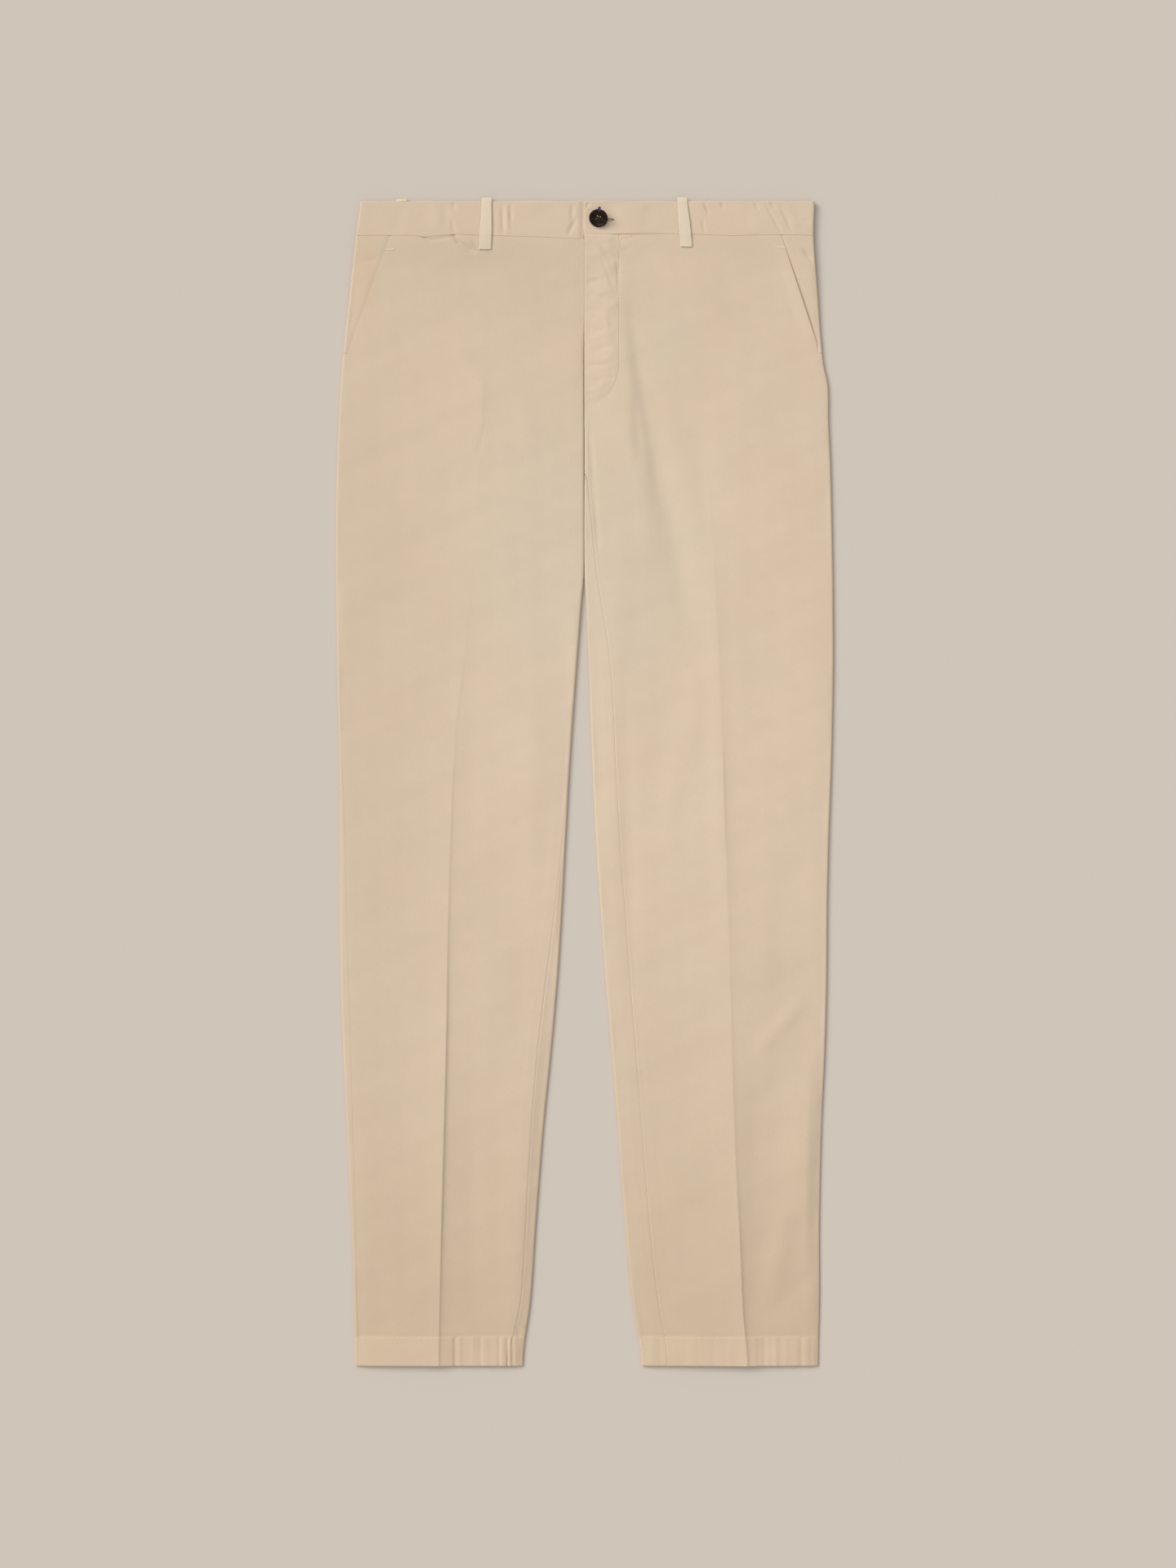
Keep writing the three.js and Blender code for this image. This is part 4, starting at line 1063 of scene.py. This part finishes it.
def band_relief(x, drop):
    """The waistband's dents and ripples, fading out at its edges."""
    fade = smooth((214 - np.abs(x)) / 8) * smooth(drop / 2) * smooth((BAND_DEPTH - drop) / 2)
    dents = BAND_WRINKLE_DEPTH * ridges(BAND_WRINKLES, x, drop)
    return fade * (dents + soft_noise(x, drop, *BAND_WAVE))


def band_front_x(name):
    """The x of the grid's columns on the front, from the half's end to its side fold."""
    if name == "left":
        first = CENTRE_FRONT + CENTRE_GAP + edge_stops(BAND_CLOTH)
        return np.concatenate([first, graded(first[-1], BAND_TURN_X, 150)[1:]])
    first = UNDERLAP_END - edge_stops(BAND_CLOTH)
    underlap = graded(first[-1], CENTRE_FRONT + 0.02, 12)[1:]
    return np.concatenate([first, underlap, graded(CENTRE_FRONT - 0.02, -BAND_TURN_X, 140)])


def band_step(name, x):
    """How far a half's front end lies over the other half, or dips under it."""
    if name == "left":
        past = (x - OVERLAP_FULL_TO) / (OVERLAP_NONE_FROM - OVERLAP_FULL_TO)
        return OVERLAP_LIFT * (1 - smooth(past))
    return -UNDERLAP_DIP * smooth((x - CENTRE_FRONT + 5) / 4)


def build_waistband(name):
    """Half a waistband, from its front end round the side fold to the centre back."""
    side = Side(name)
    s, r, low = side.sign, side.radius + BAND_STEP, WAIST_LIFT
    front_x = band_front_x(name)
    lower = band_edge(front_x)
    if name == "right":
        lower = np.where(front_x > CENTRE_FRONT, lower - 2 * SEAM_GAP, lower)
    step = band_step(name, front_x)
    edge_in = rounding(np.abs(front_x - front_x[0]), 0.5 * BAND_CLOTH)
    angles = np.linspace(0, math.pi, BAND_FOLD_POINTS)
    back_share = graded(0.0, 1.0, 40)[1:]
    margin = edge_stops(BAND_ROUND) / BAND_DEPTH
    shares = np.concatenate([margin, graded(0.05, 0.95, 26), 1 - margin[::-1]])

    def line(share, is_inner):
        """The points of the outer or inner face at one share of the band's depth."""
        drop = share * BAND_DEPTH
        near = min(share, 1 - share) * BAND_DEPTH
        radius = 0.5 * BAND_CLOTH if share < 0.5 else BAND_SEAM_ROUND
        drawn = rounding(np.array([near]), radius)[0]

        def inset(extra):
            depth = np.maximum(drawn, extra)
            return BAND_CLOTH - depth if is_inner else depth

        front_z = low + 2 * r - inset(edge_in) + step + band_relief(front_x, drop)
        waver = (1 - share) * soft_noise(front_x, 0.0, *BAND_TOP_WAVE)
        front = np.stack([front_x, ORIGIN_DROP - share * lower - waver, front_z], axis=-1)
        crest = side.edges(np.array(drop))[1] - s * r
        crown = r - inset(0.0)
        fold_x, fold_z = crest + s * crown * np.sin(angles), low + r + crown * np.cos(angles)
        fold_y = np.full(len(angles), ORIGIN_DROP - drop)
        fold = np.stack([fold_x, fold_y, fold_z], axis=-1)
        back_x = mix(crest, CENTRE_FRONT + s * CENTRE_GAP, back_share)
        back_y = np.full(len(back_x), ORIGIN_DROP - drop)
        back = np.stack([back_x, back_y, np.full(len(back_x), low + inset(0.0))], axis=-1)
        return np.concatenate([front, fold, back])

    outer, inner = (np.stack([line(share, face) for share in shares]) for face in (False, True))
    return shell(f"waistband_{name}_cloth", outer, inner)


def fly_edge(drop):
    """The x of the fly's curved stitching at a drop."""
    width = sizes("fly_width")
    curve = FLY_END_DROP - width * FLY_CURVE
    t = np.clip((drop - curve) / (FLY_END_DROP - curve), 0, 1)
    return width * np.sqrt(np.maximum(0.004, 1 - t * t))


def build_fly():
    """The placket on the left front: puffed between its rounded edge and the curved stitching."""
    side = Side("left")
    r = side.radius
    width = sizes("fly_width")
    top = float(band_edge(width / 2)) + 2 * SEAM_GAP
    curve = FLY_END_DROP - width * FLY_CURVE
    drop = np.concatenate([graded(top, curve, 52), graded(curve, FLY_END_DROP, 30, 1.0, 1.6)[1:]])
    share = np.concatenate([[0, 0.004, 0.012, 0.03], graded(0.06, 0.93, 24), [0.96, 0.985, 1.0]])
    reach = fly_edge(drop)
    along = reach[:, None] * share[None, :] - r
    grid_drop = np.broadcast_to(drop[:, None], along.shape)
    base = side.point(along, grid_drop, 0.0, 0.0)
    from_edge = reach[:, None] * share[None, :]
    to_seam = np.minimum(reach[:, None] - from_edge, (FLY_END_DROP - grid_drop) * 0.8)
    puff = FLY_PUFF * smooth(to_seam / FLY_PUFF_REACH) + FLY_RISE * smooth(to_seam / FLY_RISE_REACH)
    puff = puff - rounding(from_edge, FLY_ROUND) * 0.6
    x = base[..., 0]
    fine, long = FLY_WAVES
    puckers = soft_noise(x, grid_drop, *fine) + soft_noise(x * 0.35, grid_drop, *long)
    outer, inner = base.copy(), base.copy()
    outer[..., 2] += np.maximum(puff, 0.0) + 0.02 + puckers * smooth(to_seam / 3)
    inner[..., 2] += 0.005
    return shell("fly_cloth", outer, inner)


def loop_path(loop):
    """The middle of a loop's underside, as drops and heights from the top end to the lower one."""
    up, (top, low) = loop["up"], loop["drop"]
    band_face, panel_face = face_heights() if up > 0 else (WAIST_LIFT, WAIST_LIFT)
    first = max(top, 0) + 1.6
    stops = edge_stops(LOOP_CLOTH) * 0.6
    upper = first + stops if top >= 0 else [first]
    drops = np.concatenate([upper, graded(first + 1.6, low - 1.6, 26), (low - stops)[::-1]])
    face = mix(band_face, panel_face, smooth((drops - BAND_DEPTH + 1) / 5))
    lift = LOOP_CLEAR * (1 - 0.2 * smooth((drops - low + 5) / 4))
    bow = np.sin(math.pi * np.clip((drops - first) / (low - first), 0, 1))
    hump = LOOP_BOW * bow if up > 0 else 0 * drops
    path = np.stack([drops, face + up * (lift + hump)], axis=-1)
    if top >= 0:
        return path
    bend = LOOP_BEND if up > 0 else LOOP_TUCK + LOOP_BEND[1:]
    over = [(top + LOOP_CLOTH + inward, band_face + up * (LOOP_CLEAR + height))
            for height, inward in bend]
    return np.concatenate([np.array(over), path])


def build_loop(name):
    """A belt loop: a folded strip, slightly crowned, with its ends turned in."""
    loop = LOOPS[name]
    top, low = loop["drop"]
    path = loop_path(loop)
    step = np.gradient(path, axis=0)
    step /= np.linalg.norm(step, axis=1)[:, None]
    out = np.stack([-step[:, 1], step[:, 0]], axis=-1) * loop["up"]
    share = np.array([0, 0.02, 0.07, 0.16, 0.3, 0.5, 0.7, 0.84, 0.93, 0.98, 1.0])
    part = (path[:, 0] - top) / (low - top)
    middle, width = mix(*loop["x"], part), mix(*loop["width"], smooth(part * 1.4))
    near = np.minimum(share, 1 - share)[None, :] * width[:, None]
    ends = np.minimum(np.abs(path[:, 0] - low), 9)[:, None]
    drawn = rounding(np.minimum(near, ends), 0.5 * LOOP_CLOTH)
    groove = LOOP_GROOVE * np.exp(-(((near - LOOP_GROOVE_IN) / LOOP_GROOVE_WIDTH) ** 2))
    crown = LOOP_CROWN * (1 - (2 * share - 1) ** 2)[None, :] - groove
    x = middle[:, None] + (share - 0.5)[None, :] * width[:, None]

    def grid(depth):
        drop = path[:, 0][:, None] + out[:, 0][:, None] * depth
        z = path[:, 1][:, None] + out[:, 1][:, None] * depth
        return np.stack([x, ORIGIN_DROP - drop, np.maximum(z, 0.02)], axis=-1)

    return shell(f"{name}_cloth", grid(LOOP_CLOTH - drawn + crown), grid(drawn))


def face_heights():
    """Heights of the waistband's face and of the panels' faces at the waist."""
    top = WAIST_LIFT + 2 * sizes("fold_radius")
    return top + 2 * BAND_STEP, top


def cut_buttonhole(piece):
    """Cuts the buttonhole's slit through the upper waistband end."""
    x1, x2, drop, width = (BUTTONHOLE[key] for key in ("x1", "x2", "drop", "width"))
    mesh = bmesh.new()
    half, shoulder = width / 2, x2 - BUTTONHOLE_POINT
    outline = [(x1, -half), (shoulder, -half), (x2, 0.0), (shoulder, half), (x1, half)]
    y = ORIGIN_DROP - drop
    low = (face_heights()[0] + 0.03) * MM
    face = mesh.faces.new([mesh.verts.new((x * MM, (y + dy) * MM, low)) for x, dy in outline])
    raised = bmesh.ops.extrude_face_region(mesh, geom=[face])
    tops = [v for v in raised["geom"] if isinstance(v, bmesh.types.BMVert)]
    bmesh.ops.translate(mesh, verts=tops, vec=(0, 0, 5 * MM))
    bmesh.ops.recalc_face_normals(mesh, faces=mesh.faces)
    cut_away(piece, object_from(mesh, "slit"))


def object_from(mesh, name):
    """Turns a bmesh into an object of the scene."""
    data = bpy.data.meshes.new(name)
    mesh.to_mesh(data)
    mesh.free()
    piece = bpy.data.objects.new(name, data)
    bpy.context.scene.collection.objects.link(piece)
    return piece


def smooth_shade(piece):
    for polygon in piece.data.polygons:
        polygon.use_smooth = True


def cut_away(piece, cutter):
    """Takes the cutter's volume out of a piece, and the cutter out of the scene."""
    cut = piece.modifiers.new("cut", "BOOLEAN")
    cut.object, cut.operation, cut.solver = cutter, "DIFFERENCE", "EXACT"
    bake(piece)
    bpy.data.objects.remove(cutter)


def bake(piece):
    """Turns a piece and its modifiers into a plain mesh."""
    depsgraph = bpy.context.evaluated_depsgraph_get()
    mesh = bpy.data.meshes.new_from_object(piece.evaluated_get(depsgraph))
    piece.modifiers.clear()
    old = piece.data
    piece.data = mesh
    if old.users == 0:
        (bpy.data.meshes if isinstance(old, bpy.types.Mesh) else bpy.data.curves).remove(old)


# Sewing


STITCH_INPUTS = (
    ("Pitch", 0.003), ("Length", 0.0022), ("Width", 0.0005), ("Turn", 0.0), ("Uneven", 0.1))


def stitch_tree():
    """Geometry nodes that lay one small stitch after another along the edges of a mesh."""
    name = "stitches_along_edges"
    if name in bpy.data.node_groups:
        return bpy.data.node_groups[name]
    tree = bpy.data.node_groups.new(name, "GeometryNodeTree")
    face = tree.interface
    face.new_socket(name="Geometry", in_out="OUTPUT", socket_type="NodeSocketGeometry")
    face.new_socket(name="Geometry", in_out="INPUT", socket_type="NodeSocketGeometry")
    for label, default in STITCH_INPUTS:
        socket = face.new_socket(name=label, in_out="INPUT", socket_type="NodeSocketFloat")
        socket.default_value = default
    face.new_socket(name="Seed", in_out="INPUT", socket_type="NodeSocketInt").default_value = 7
    face.new_socket(name="Thread", in_out="INPUT", socket_type="NodeSocketMaterial")
    given = tree.nodes.new("NodeGroupInput").outputs
    curve = add(tree, "GeometryNodeMeshToCurve", {"Mesh": given["Geometry"]})
    spaced = add(tree, "GeometryNodeResampleCurve", {
        "Curve": curve.outputs[0], "Length": given["Pitch"]}, mode="LENGTH")
    stitch = add(tree, "GeometryNodeMeshUVSphere", {"Segments": 8, "Rings": 6, "Radius": 0.5})
    tangent = tree.nodes.new("GeometryNodeInputTangent").outputs[0]
    lying = add(tree, "FunctionNodeAlignRotationToVector", {"Vector": tangent}, axis="X", pivot_axis="Z")
    turn = add(tree, "ShaderNodeCombineXYZ", {"Z": given["Turn"]})
    turned = add(tree, "FunctionNodeRotateRotation", {
        "Rotation": lying.outputs[0], "Rotate By": turn.outputs[0]}, rotation_space="LOCAL")
    size = add(tree, "ShaderNodeCombineXYZ", {
        "X": given["Length"], "Y": given["Width"], "Z": given["Width"]})
    # a Random Value node's float limits are its third and fourth inputs
    shortest = calc(tree, "SUBTRACT", 1.0, given["Uneven"])
    dice = add(tree, "FunctionNodeRandomValue", {
        2: shortest, 3: 1.0, "Seed": given["Seed"]}, data_type="FLOAT")
    scale = add(tree, "ShaderNodeVectorMath", {
        0: size.outputs[0], "Scale": dice.outputs[1]}, operation="SCALE")
    placed = add(tree, "GeometryNodeInstanceOnPoints", {
        "Points": spaced.outputs[0], "Instance": stitch.outputs[0],
        "Rotation": turned.outputs[0], "Scale": scale.outputs[0]})
    real = add(tree, "GeometryNodeRealizeInstances", {"Geometry": placed.outputs[0]})
    painted = add(tree, "GeometryNodeSetMaterial", {
        "Geometry": real.outputs[0], "Material": given["Thread"]})
    tree.links.new(painted.outputs[0], tree.nodes.new("NodeGroupOutput").inputs[0])
    return tree


def sew(name, paths, pitch, length, width, turn=0.0, uneven=0.1, seed=7, thread="sewing_thread"):
    """Stitches along paths of points in millimetres, joined in one mesh."""
    points, edges = [], []
    for path in paths:
        start = len(points)
        points += [tuple(np.array(p) * MM) for p in path]
        edges += [(i, i + 1) for i in range(start, len(points) - 1)]
    mesh = bpy.data.meshes.new(name)
    mesh.from_pydata(points, edges, [])
    piece = bpy.data.objects.new(name, mesh)
    bpy.context.scene.collection.objects.link(piece)
    tree = stitch_tree()
    modifier = piece.modifiers.new("stitches", "NODES")
    modifier.node_group = tree
    values = {"Pitch": pitch * MM, "Length": length * MM, "Width": width * MM, "Turn": turn,
              "Uneven": uneven, "Seed": seed, "Thread": material(thread)}
    for socket in tree.interface.items_tree:
        if socket.in_out == "INPUT" and socket.name in values:
            modifier[socket.identifier] = values[socket.name]
    bake(piece)
    smooth_shade(piece)
    return piece


def on_front(name, places, proud=0.05):
    """Points on a front panel from (x, drop) places."""
    side = Side(name)
    x, drop = np.array(places, dtype=float).T
    return np.stack([x, ORIGIN_DROP - drop, side.top(x, drop) + proud], axis=-1)


def line_between(a, b, count):
    """Places from a to b in equal steps."""
    start, end = np.array(a, float), np.array(b, float)
    return [tuple(mix(start, end, t)) for t in np.linspace(0, 1, count + 1)]


# Metres: the floor that the picture takes in from top to bottom, where the camera stands over it,
# and half the floor's side and its level
FRAME_HEIGHT = 1.4592
CAMERA_X, CAMERA_Y = 0.003, -0.002
FLOOR_HALF, FLOOR_LEVEL = 12.0, -0.0002

# Shares of the floor's light: an even sky, and soft lamps tilted from overhead to the upper left
SKY = 0.47
LAMPS = Table(
    "share tilt softness heading",
    (0.34, 34, 60, 37),
    (0.19, 56, 26, 33),
)


def add_lamp(scene, row):
    tilt, heading = math.radians(row["tilt"]), math.radians(row["heading"])
    sun = bpy.data.lights.new("lamp", "SUN")
    sun.angle = math.radians(row["softness"])
    sun.energy = row["share"] * math.pi / math.cos(tilt)
    lamp = bpy.data.objects.new("lamp", sun)
    aside = math.sin(tilt)
    way = Vector((-math.cos(heading) * aside, math.sin(heading) * aside, math.cos(tilt)))
    lamp.rotation_euler = way.to_track_quat("Z", "Y").to_euler()
    scene.collection.objects.link(lamp)


# Operators


class TROUSERS_OT_stage(bpy.types.Operator):
    """Floor, soft light from the upper left and a camera looking straight down"""
    bl_idname = "trousers.stage"
    bl_label = "Stage"

    def execute(self, context):
        scene = context.scene
        scene.view_settings.view_transform = "Standard"
        scene.view_settings.look = "None"
        corners = [(-1, -1), (1, -1), (1, 1), (-1, 1)]
        points = [(x * FLOOR_HALF, y * FLOOR_HALF, FLOOR_LEVEL) for x, y in corners]
        floor = mesh_object("floor", points, [(0, 1, 2, 3)])
        floor.data.materials.append(material("pale_floor"))
        world = bpy.data.worlds.new("studio")
        world.use_nodes = True
        sky = world.node_tree.nodes["Background"].inputs
        sky["Color"].default_value = (1.0, 1.0, 1.0, 1.0)
        sky["Strength"].default_value = SKY
        scene.world = world
        for row in LAMPS.rows():
            add_lamp(scene, row)
        lens = bpy.data.cameras.new("camera")
        lens.sensor_fit, lens.sensor_height, lens.sensor_width = "VERTICAL", 36.0, 27.0
        lens.lens, lens.clip_end = 85.0, 50.0
        camera = bpy.data.objects.new("camera", lens)
        camera.location = (CAMERA_X, CAMERA_Y, FRAME_HEIGHT * lens.lens / lens.sensor_height)
        scene.collection.objects.link(camera)
        scene.camera = camera
        return {"FINISHED"}


class TROUSERS_OT_panels(bpy.types.Operator):
    """Fronts and backs of both legs"""
    bl_idname = "trousers.panels"
    bl_label = "Leg panels"

    def execute(self, context):
        for name in ("left", "right"):
            front, back = build_front(name), build_back(name)
            finish(front, material("khaki_twill"), f"front_{name}")
            finish(back, material("khaki_twill"), f"back_{name}")
        return {"FINISHED"}


class TROUSERS_OT_pockets(bpy.types.Operator):
    """Facings that show behind the slanted pocket mouths"""
    bl_idname = "trousers.pockets"
    bl_label = "Pocket facings"

    def execute(self, context):
        for name in ("left", "right"):
            piece = finish(build_facing(name), material("khaki_twill"), f"pocket_facing_{name}")
        return {"FINISHED"}


class TROUSERS_OT_waistband(bpy.types.Operator):
    """Both halves of the waistband, with the buttonhole"""
    bl_idname = "trousers.waistband"
    bl_label = "Waistband"

    def execute(self, context):
        for name in ("left", "right"):
            piece = build_waistband(name)
            if name == "left":
                cut_buttonhole(piece)
            finish(piece, material("khaki_twill"), f"waistband_{name}")
        return {"FINISHED"}


class TROUSERS_OT_fly(bpy.types.Operator):
    """The fly placket on the left front"""
    bl_idname = "trousers.fly"
    bl_label = "Fly"

    def execute(self, context):
        piece = finish(build_fly(), material("khaki_twill"), "fly")
        return {"FINISHED"}


class TROUSERS_OT_loops(bpy.types.Operator):
    """Five belt loops, three of them underneath"""
    bl_idname = "trousers.loops"
    bl_label = "Belt loops"

    def execute(self, context):
        for name in LOOPS:
            # the loops' paler twill carries a painted highlight
            piece = finish(build_loop(name), material("highlit_loop_twill"), name)
        return {"FINISHED"}


def turn_profile():
    """The button's solid: its profile turned round its middle."""
    mesh = bmesh.new()
    angles = [2 * math.pi * k / BUTTON_SEGMENTS for k in range(BUTTON_SEGMENTS)]
    rings = []
    for out, up in BUTTON_PROFILE:
        r, z = out * BUTTON_RADIUS, up * BUTTON_THICKNESS
        places = [(r * math.cos(a) * MM, r * math.sin(a) * MM, z * MM) for a in angles if r or a == 0]
        rings.append([mesh.verts.new(place) for place in places])
    for a, b in zip(rings, rings[1:]):
        for k in range(BUTTON_SEGMENTS):
            n = (k + 1) % BUTTON_SEGMENTS
            lower = a if len(a) == 1 else [a[k], a[n]]
            upper = b if len(b) == 1 else [b[n], b[k]]
            mesh.faces.new(lower + upper)
    bmesh.ops.recalc_face_normals(mesh, faces=mesh.faces)
    return object_from(mesh, "button_horn")


def build_button():
    """A four-hole button with a raised rim, lying flat at the origin."""
    piece = turn_profile()
    drill = bmesh.new()
    bore, length = BUTTON_HOLE_RADIUS * MM, 3 * BUTTON_THICKNESS * MM
    for k in range(4):
        a = math.pi / 4 + k * math.pi / 2
        x, y = BUTTON_HOLE_OUT * math.cos(a) * MM, BUTTON_HOLE_OUT * math.sin(a) * MM
        bmesh.ops.create_cone(
            drill, cap_ends=True, segments=16, radius1=bore, radius2=bore, depth=length,
            matrix=Matrix.Translation((x, y, 0)))
    cut_away(piece, object_from(drill, "drill"))
    smooth_shade(piece)
    piece.data.set_sharp_from_angle(angle=math.radians(40))
    return piece


def button_place():
    """Where the button's middle is, and its tilt."""
    tilt, turn = math.radians(BUTTON_TILT), math.radians(BUTTON_TURN)
    lowest = face_heights()[0] + OVERLAP_LIFT + BUTTON_CLEAR
    height = lowest + BUTTON_RADIUS * math.sin(tilt) + BUTTON_THICKNESS / 2 * math.cos(tilt)
    x, drop = BUTTON_PLACE
    middle = Matrix.Translation(Vector((x, ORIGIN_DROP - drop, height)) * MM)
    return middle @ Matrix.Rotation(turn, 4, "Z") @ Matrix.Rotation(tilt, 4, "X")


def tube(name, points, radius):
    """A closed tube of eight sides along points in metres."""
    curve = bpy.data.curves.new(name, "CURVE")
    curve.dimensions, curve.bevel_depth, curve.bevel_resolution = "3D", radius, 2
    curve.use_fill_caps = True
    spline = curve.splines.new("POLY")
    spline.points.add(len(points) - 1)
    for target, point in zip(spline.points, points):
        target.co = (*point, 1)
    guide = bpy.data.objects.new(name, curve)
    bpy.context.scene.collection.objects.link(guide)
    depsgraph = bpy.context.evaluated_depsgraph_get()
    mesh = bpy.data.meshes.new_from_object(guide.evaluated_get(depsgraph))
    bpy.data.objects.remove(guide)
    bpy.data.curves.remove(curve)
    piece = bpy.data.objects.new(name, mesh)
    bpy.context.scene.collection.objects.link(piece)
    smooth_shade(piece)
    return piece


def shank_route(place, foot):
    """The button's thread: up through each hole, crossed over the face and back to the cloth."""
    out = 1.35 * MM
    signs = ((1, 1), (1, -1), (-1, -1), (-1, 1))
    ends = [place @ Vector((sx * out, sy * out, 0.25 * MM)) for sx, sy in signs]
    proud = place.to_3x3() @ Vector((0, 0, 0.35 * MM))
    route = []
    for a, b in ((0, 2), (1, 3)):
        over = (ends[a] + ends[b]) / 2 + proud
        route += [foot + (ends[a] - foot) * 0.12, ends[a], over, ends[b], foot + (ends[b] - foot) * 0.12]
    return route


def marking_route(place, foot):
    """A thread from under the button, knotted beside its upper rim and laid over it."""
    beyond = BUTTON_RADIUS + 0.7
    knot = [(KNOT_X + 1.1 * math.cos(t), beyond + 1.1 * math.sin(1.7 * t), 0.6 * math.sin(2.3 * t))
            for t in np.linspace(0.3, 9.8, 60)]
    over = [(KNOT_X + 0.2, BUTTON_RADIUS - 0.5, 1.75), (KNOT_X + 0.5, BUTTON_RADIUS - 2.0, 1.7)]
    places = [(KNOT_X, beyond - 2.4, -2.2)] + knot + over
    return [foot] + [place @ (Vector(p) * MM) for p in places]


class TROUSERS_OT_button(bpy.types.Operator):
    """Horn button with its thread and the violet marking thread above it"""
    bl_idname = "trousers.button"
    bl_label = "Button"

    def execute(self, context):
        place = button_place()
        piece = build_button()
        piece.data.transform(place)
        finish(piece, material("dark_horn"), "button", slot="button")
        x, drop = BUTTON_PLACE
        foot = Vector((x * MM, (ORIGIN_DROP - drop) * MM, (face_heights()[0] + 0.3) * MM))
        shank = tube("button_thread", shank_route(place, foot), BUTTON_THREAD * MM)
        finish(shank, material("dark_thread"))
        marking = tube("marking_thread", marking_route(place, foot), MARKING_THREAD * MM)
        finish(marking, material("violet_thread"))
        return {"FINISHED"}


def sew_fly():
    """The curved line that holds the placket."""
    side = Side("left")
    drops = np.concatenate([np.linspace(34, 149, 60), np.linspace(150, FLY_END_DROP - 0.6, 40)])
    edge = fly_edge(drops) + CENTRE_FRONT + CENTRE_GAP
    line = np.stack([edge - 0.6, ORIGIN_DROP - drops, side.top(edge, drops)], axis=-1)
    length, width = sizes("stitch_length"), 0.8 * sizes("stitch_width")
    return sew("fly_stitches", [line], pitch=3.2, length=length, width=width, uneven=0.25)


def sew_hems():
    """Blind stitches that catch the hems, barely showing."""
    drop = OUTSEAM - sizes("hem_depth") + 0.6
    lines = [on_front(name, line_between((x1, drop), (x2, drop), 60), proud=0.12)
             for name, (x1, x2) in HEM_LINES.items()]
    return sew("hem_stitches", lines, pitch=6.2, length=1.7, width=0.9, uneven=0.75, seed=4)


def sew_pocket_tacks():
    """The bar tack at the upper end of each pocket mouth."""
    tacks = [on_front(name, line_between((x1, drop), (x2, drop), 4), proud=0.1)
             for name, (x1, x2, drop) in POCKET_TACKS.items()]
    return sew("pocket_tacks", tacks, pitch=0.5, length=1.3, width=0.9, turn=math.pi / 2)


def sew_fly_top():
    """The pale stitches where the fly's line turns off under the waistband."""
    corner = on_front("left", FLY_TOP_LINE, proud=0.1)
    return sew("fly_top_stitches", [corner], pitch=0.8, length=1.5, width=0.7)


def sew_buttonhole():
    """Close stitches round the slit."""
    x1, x2, drop = BUTTONHOLE["x1"], BUTTONHOLE["x2"], BUTTONHOLE["drop"]
    shoulder, tip, wide = x2 - BUTTONHOLE_POINT, x2 - 0.2, 0.85
    ring = [(x1, -wide), (shoulder, -wide), (tip, -0.3), (tip, 0.3), (shoulder, wide), (x1, wide)]
    top = face_heights()[0] + OVERLAP_LIFT + 0.05
    path = [(x, ORIGIN_DROP - drop + dy, top) for x, dy in ring]
    # The stitches are in the dark thread, so the slit reads dark.
    return sew(
        "buttonhole_stitches", [path], pitch=0.45, length=0.75, width=0.45, turn=math.pi / 2,
        thread="dark_thread")


def sew_loop_tacks():
    """The bar tack at the lower end of each front loop."""
    height = face_heights()[1] + LOOP_CLEAR + LOOP_CLOTH + 0.02
    tacks = []
    for name in ("loop_front_left", "loop_front_right"):
        loop = LOOPS[name]
        x, reach, y = loop["x"][1], loop["width"][1] / 2 - 0.9, ORIGIN_DROP - loop["drop"][1] + 1.1
        tacks.append([(x - reach, y, height), (x + reach, y, height)])
    return sew("loop_tacks", tacks, pitch=0.6, length=1.4, width=0.5, turn=math.pi / 2)


class TROUSERS_OT_stitching(bpy.types.Operator):
    """Fly, hem and buttonhole stitches, and the bar tacks"""
    bl_idname = "trousers.stitching"
    bl_label = "Stitching"

    def execute(self, context):
        pale, dark = material("sewing_thread"), material("dark_thread")
        for seam in (sew_fly, sew_hems, sew_pocket_tacks, sew_fly_top):
            finish(seam(), pale)
        finish(sew_buttonhole(), dark)
        finish(sew_loop_tacks(), pale)
        return {"FINISHED"}


class TROUSERS_PT_panel(bpy.types.Panel):
    """Lists the steps that build the trousers"""
    bl_idname = "TROUSERS_PT_panel"
    bl_label = "Trousers"
    bl_space_type = "VIEW_3D"
    bl_region_type = "UI"
    bl_category = "Trousers"

    def draw(self, context):
        for step in STEPS:
            self.layout.operator(step.bl_idname)
        for group in (context.scene.trouser_sizes, context.scene.trouser_colours):
            for name in group.__annotations__:
                self.layout.prop(group, name)


STEPS = (
    TROUSERS_OT_stage,
    TROUSERS_OT_panels,
    TROUSERS_OT_pockets,
    TROUSERS_OT_waistband,
    TROUSERS_OT_fly,
    TROUSERS_OT_loops,
    TROUSERS_OT_button,
    TROUSERS_OT_stitching,
)
CLASSES = (TrouserSizes, TrouserColours, *STEPS, TROUSERS_PT_panel)


def register():
    for item in CLASSES:
        bpy.utils.register_class(item)
    bpy.types.Scene.trouser_sizes = PointerProperty(type=TrouserSizes)
    bpy.types.Scene.trouser_colours = PointerProperty(type=TrouserColours)


def unregister():
    del bpy.types.Scene.trouser_colours
    del bpy.types.Scene.trouser_sizes
    for item in reversed(CLASSES):
        bpy.utils.unregister_class(item)


def main():
    register()
    for step in STEPS:
        group, name = step.bl_idname.split(".")
        getattr(getattr(bpy.ops, group), name)()


if __name__ == "__main__":
    main()
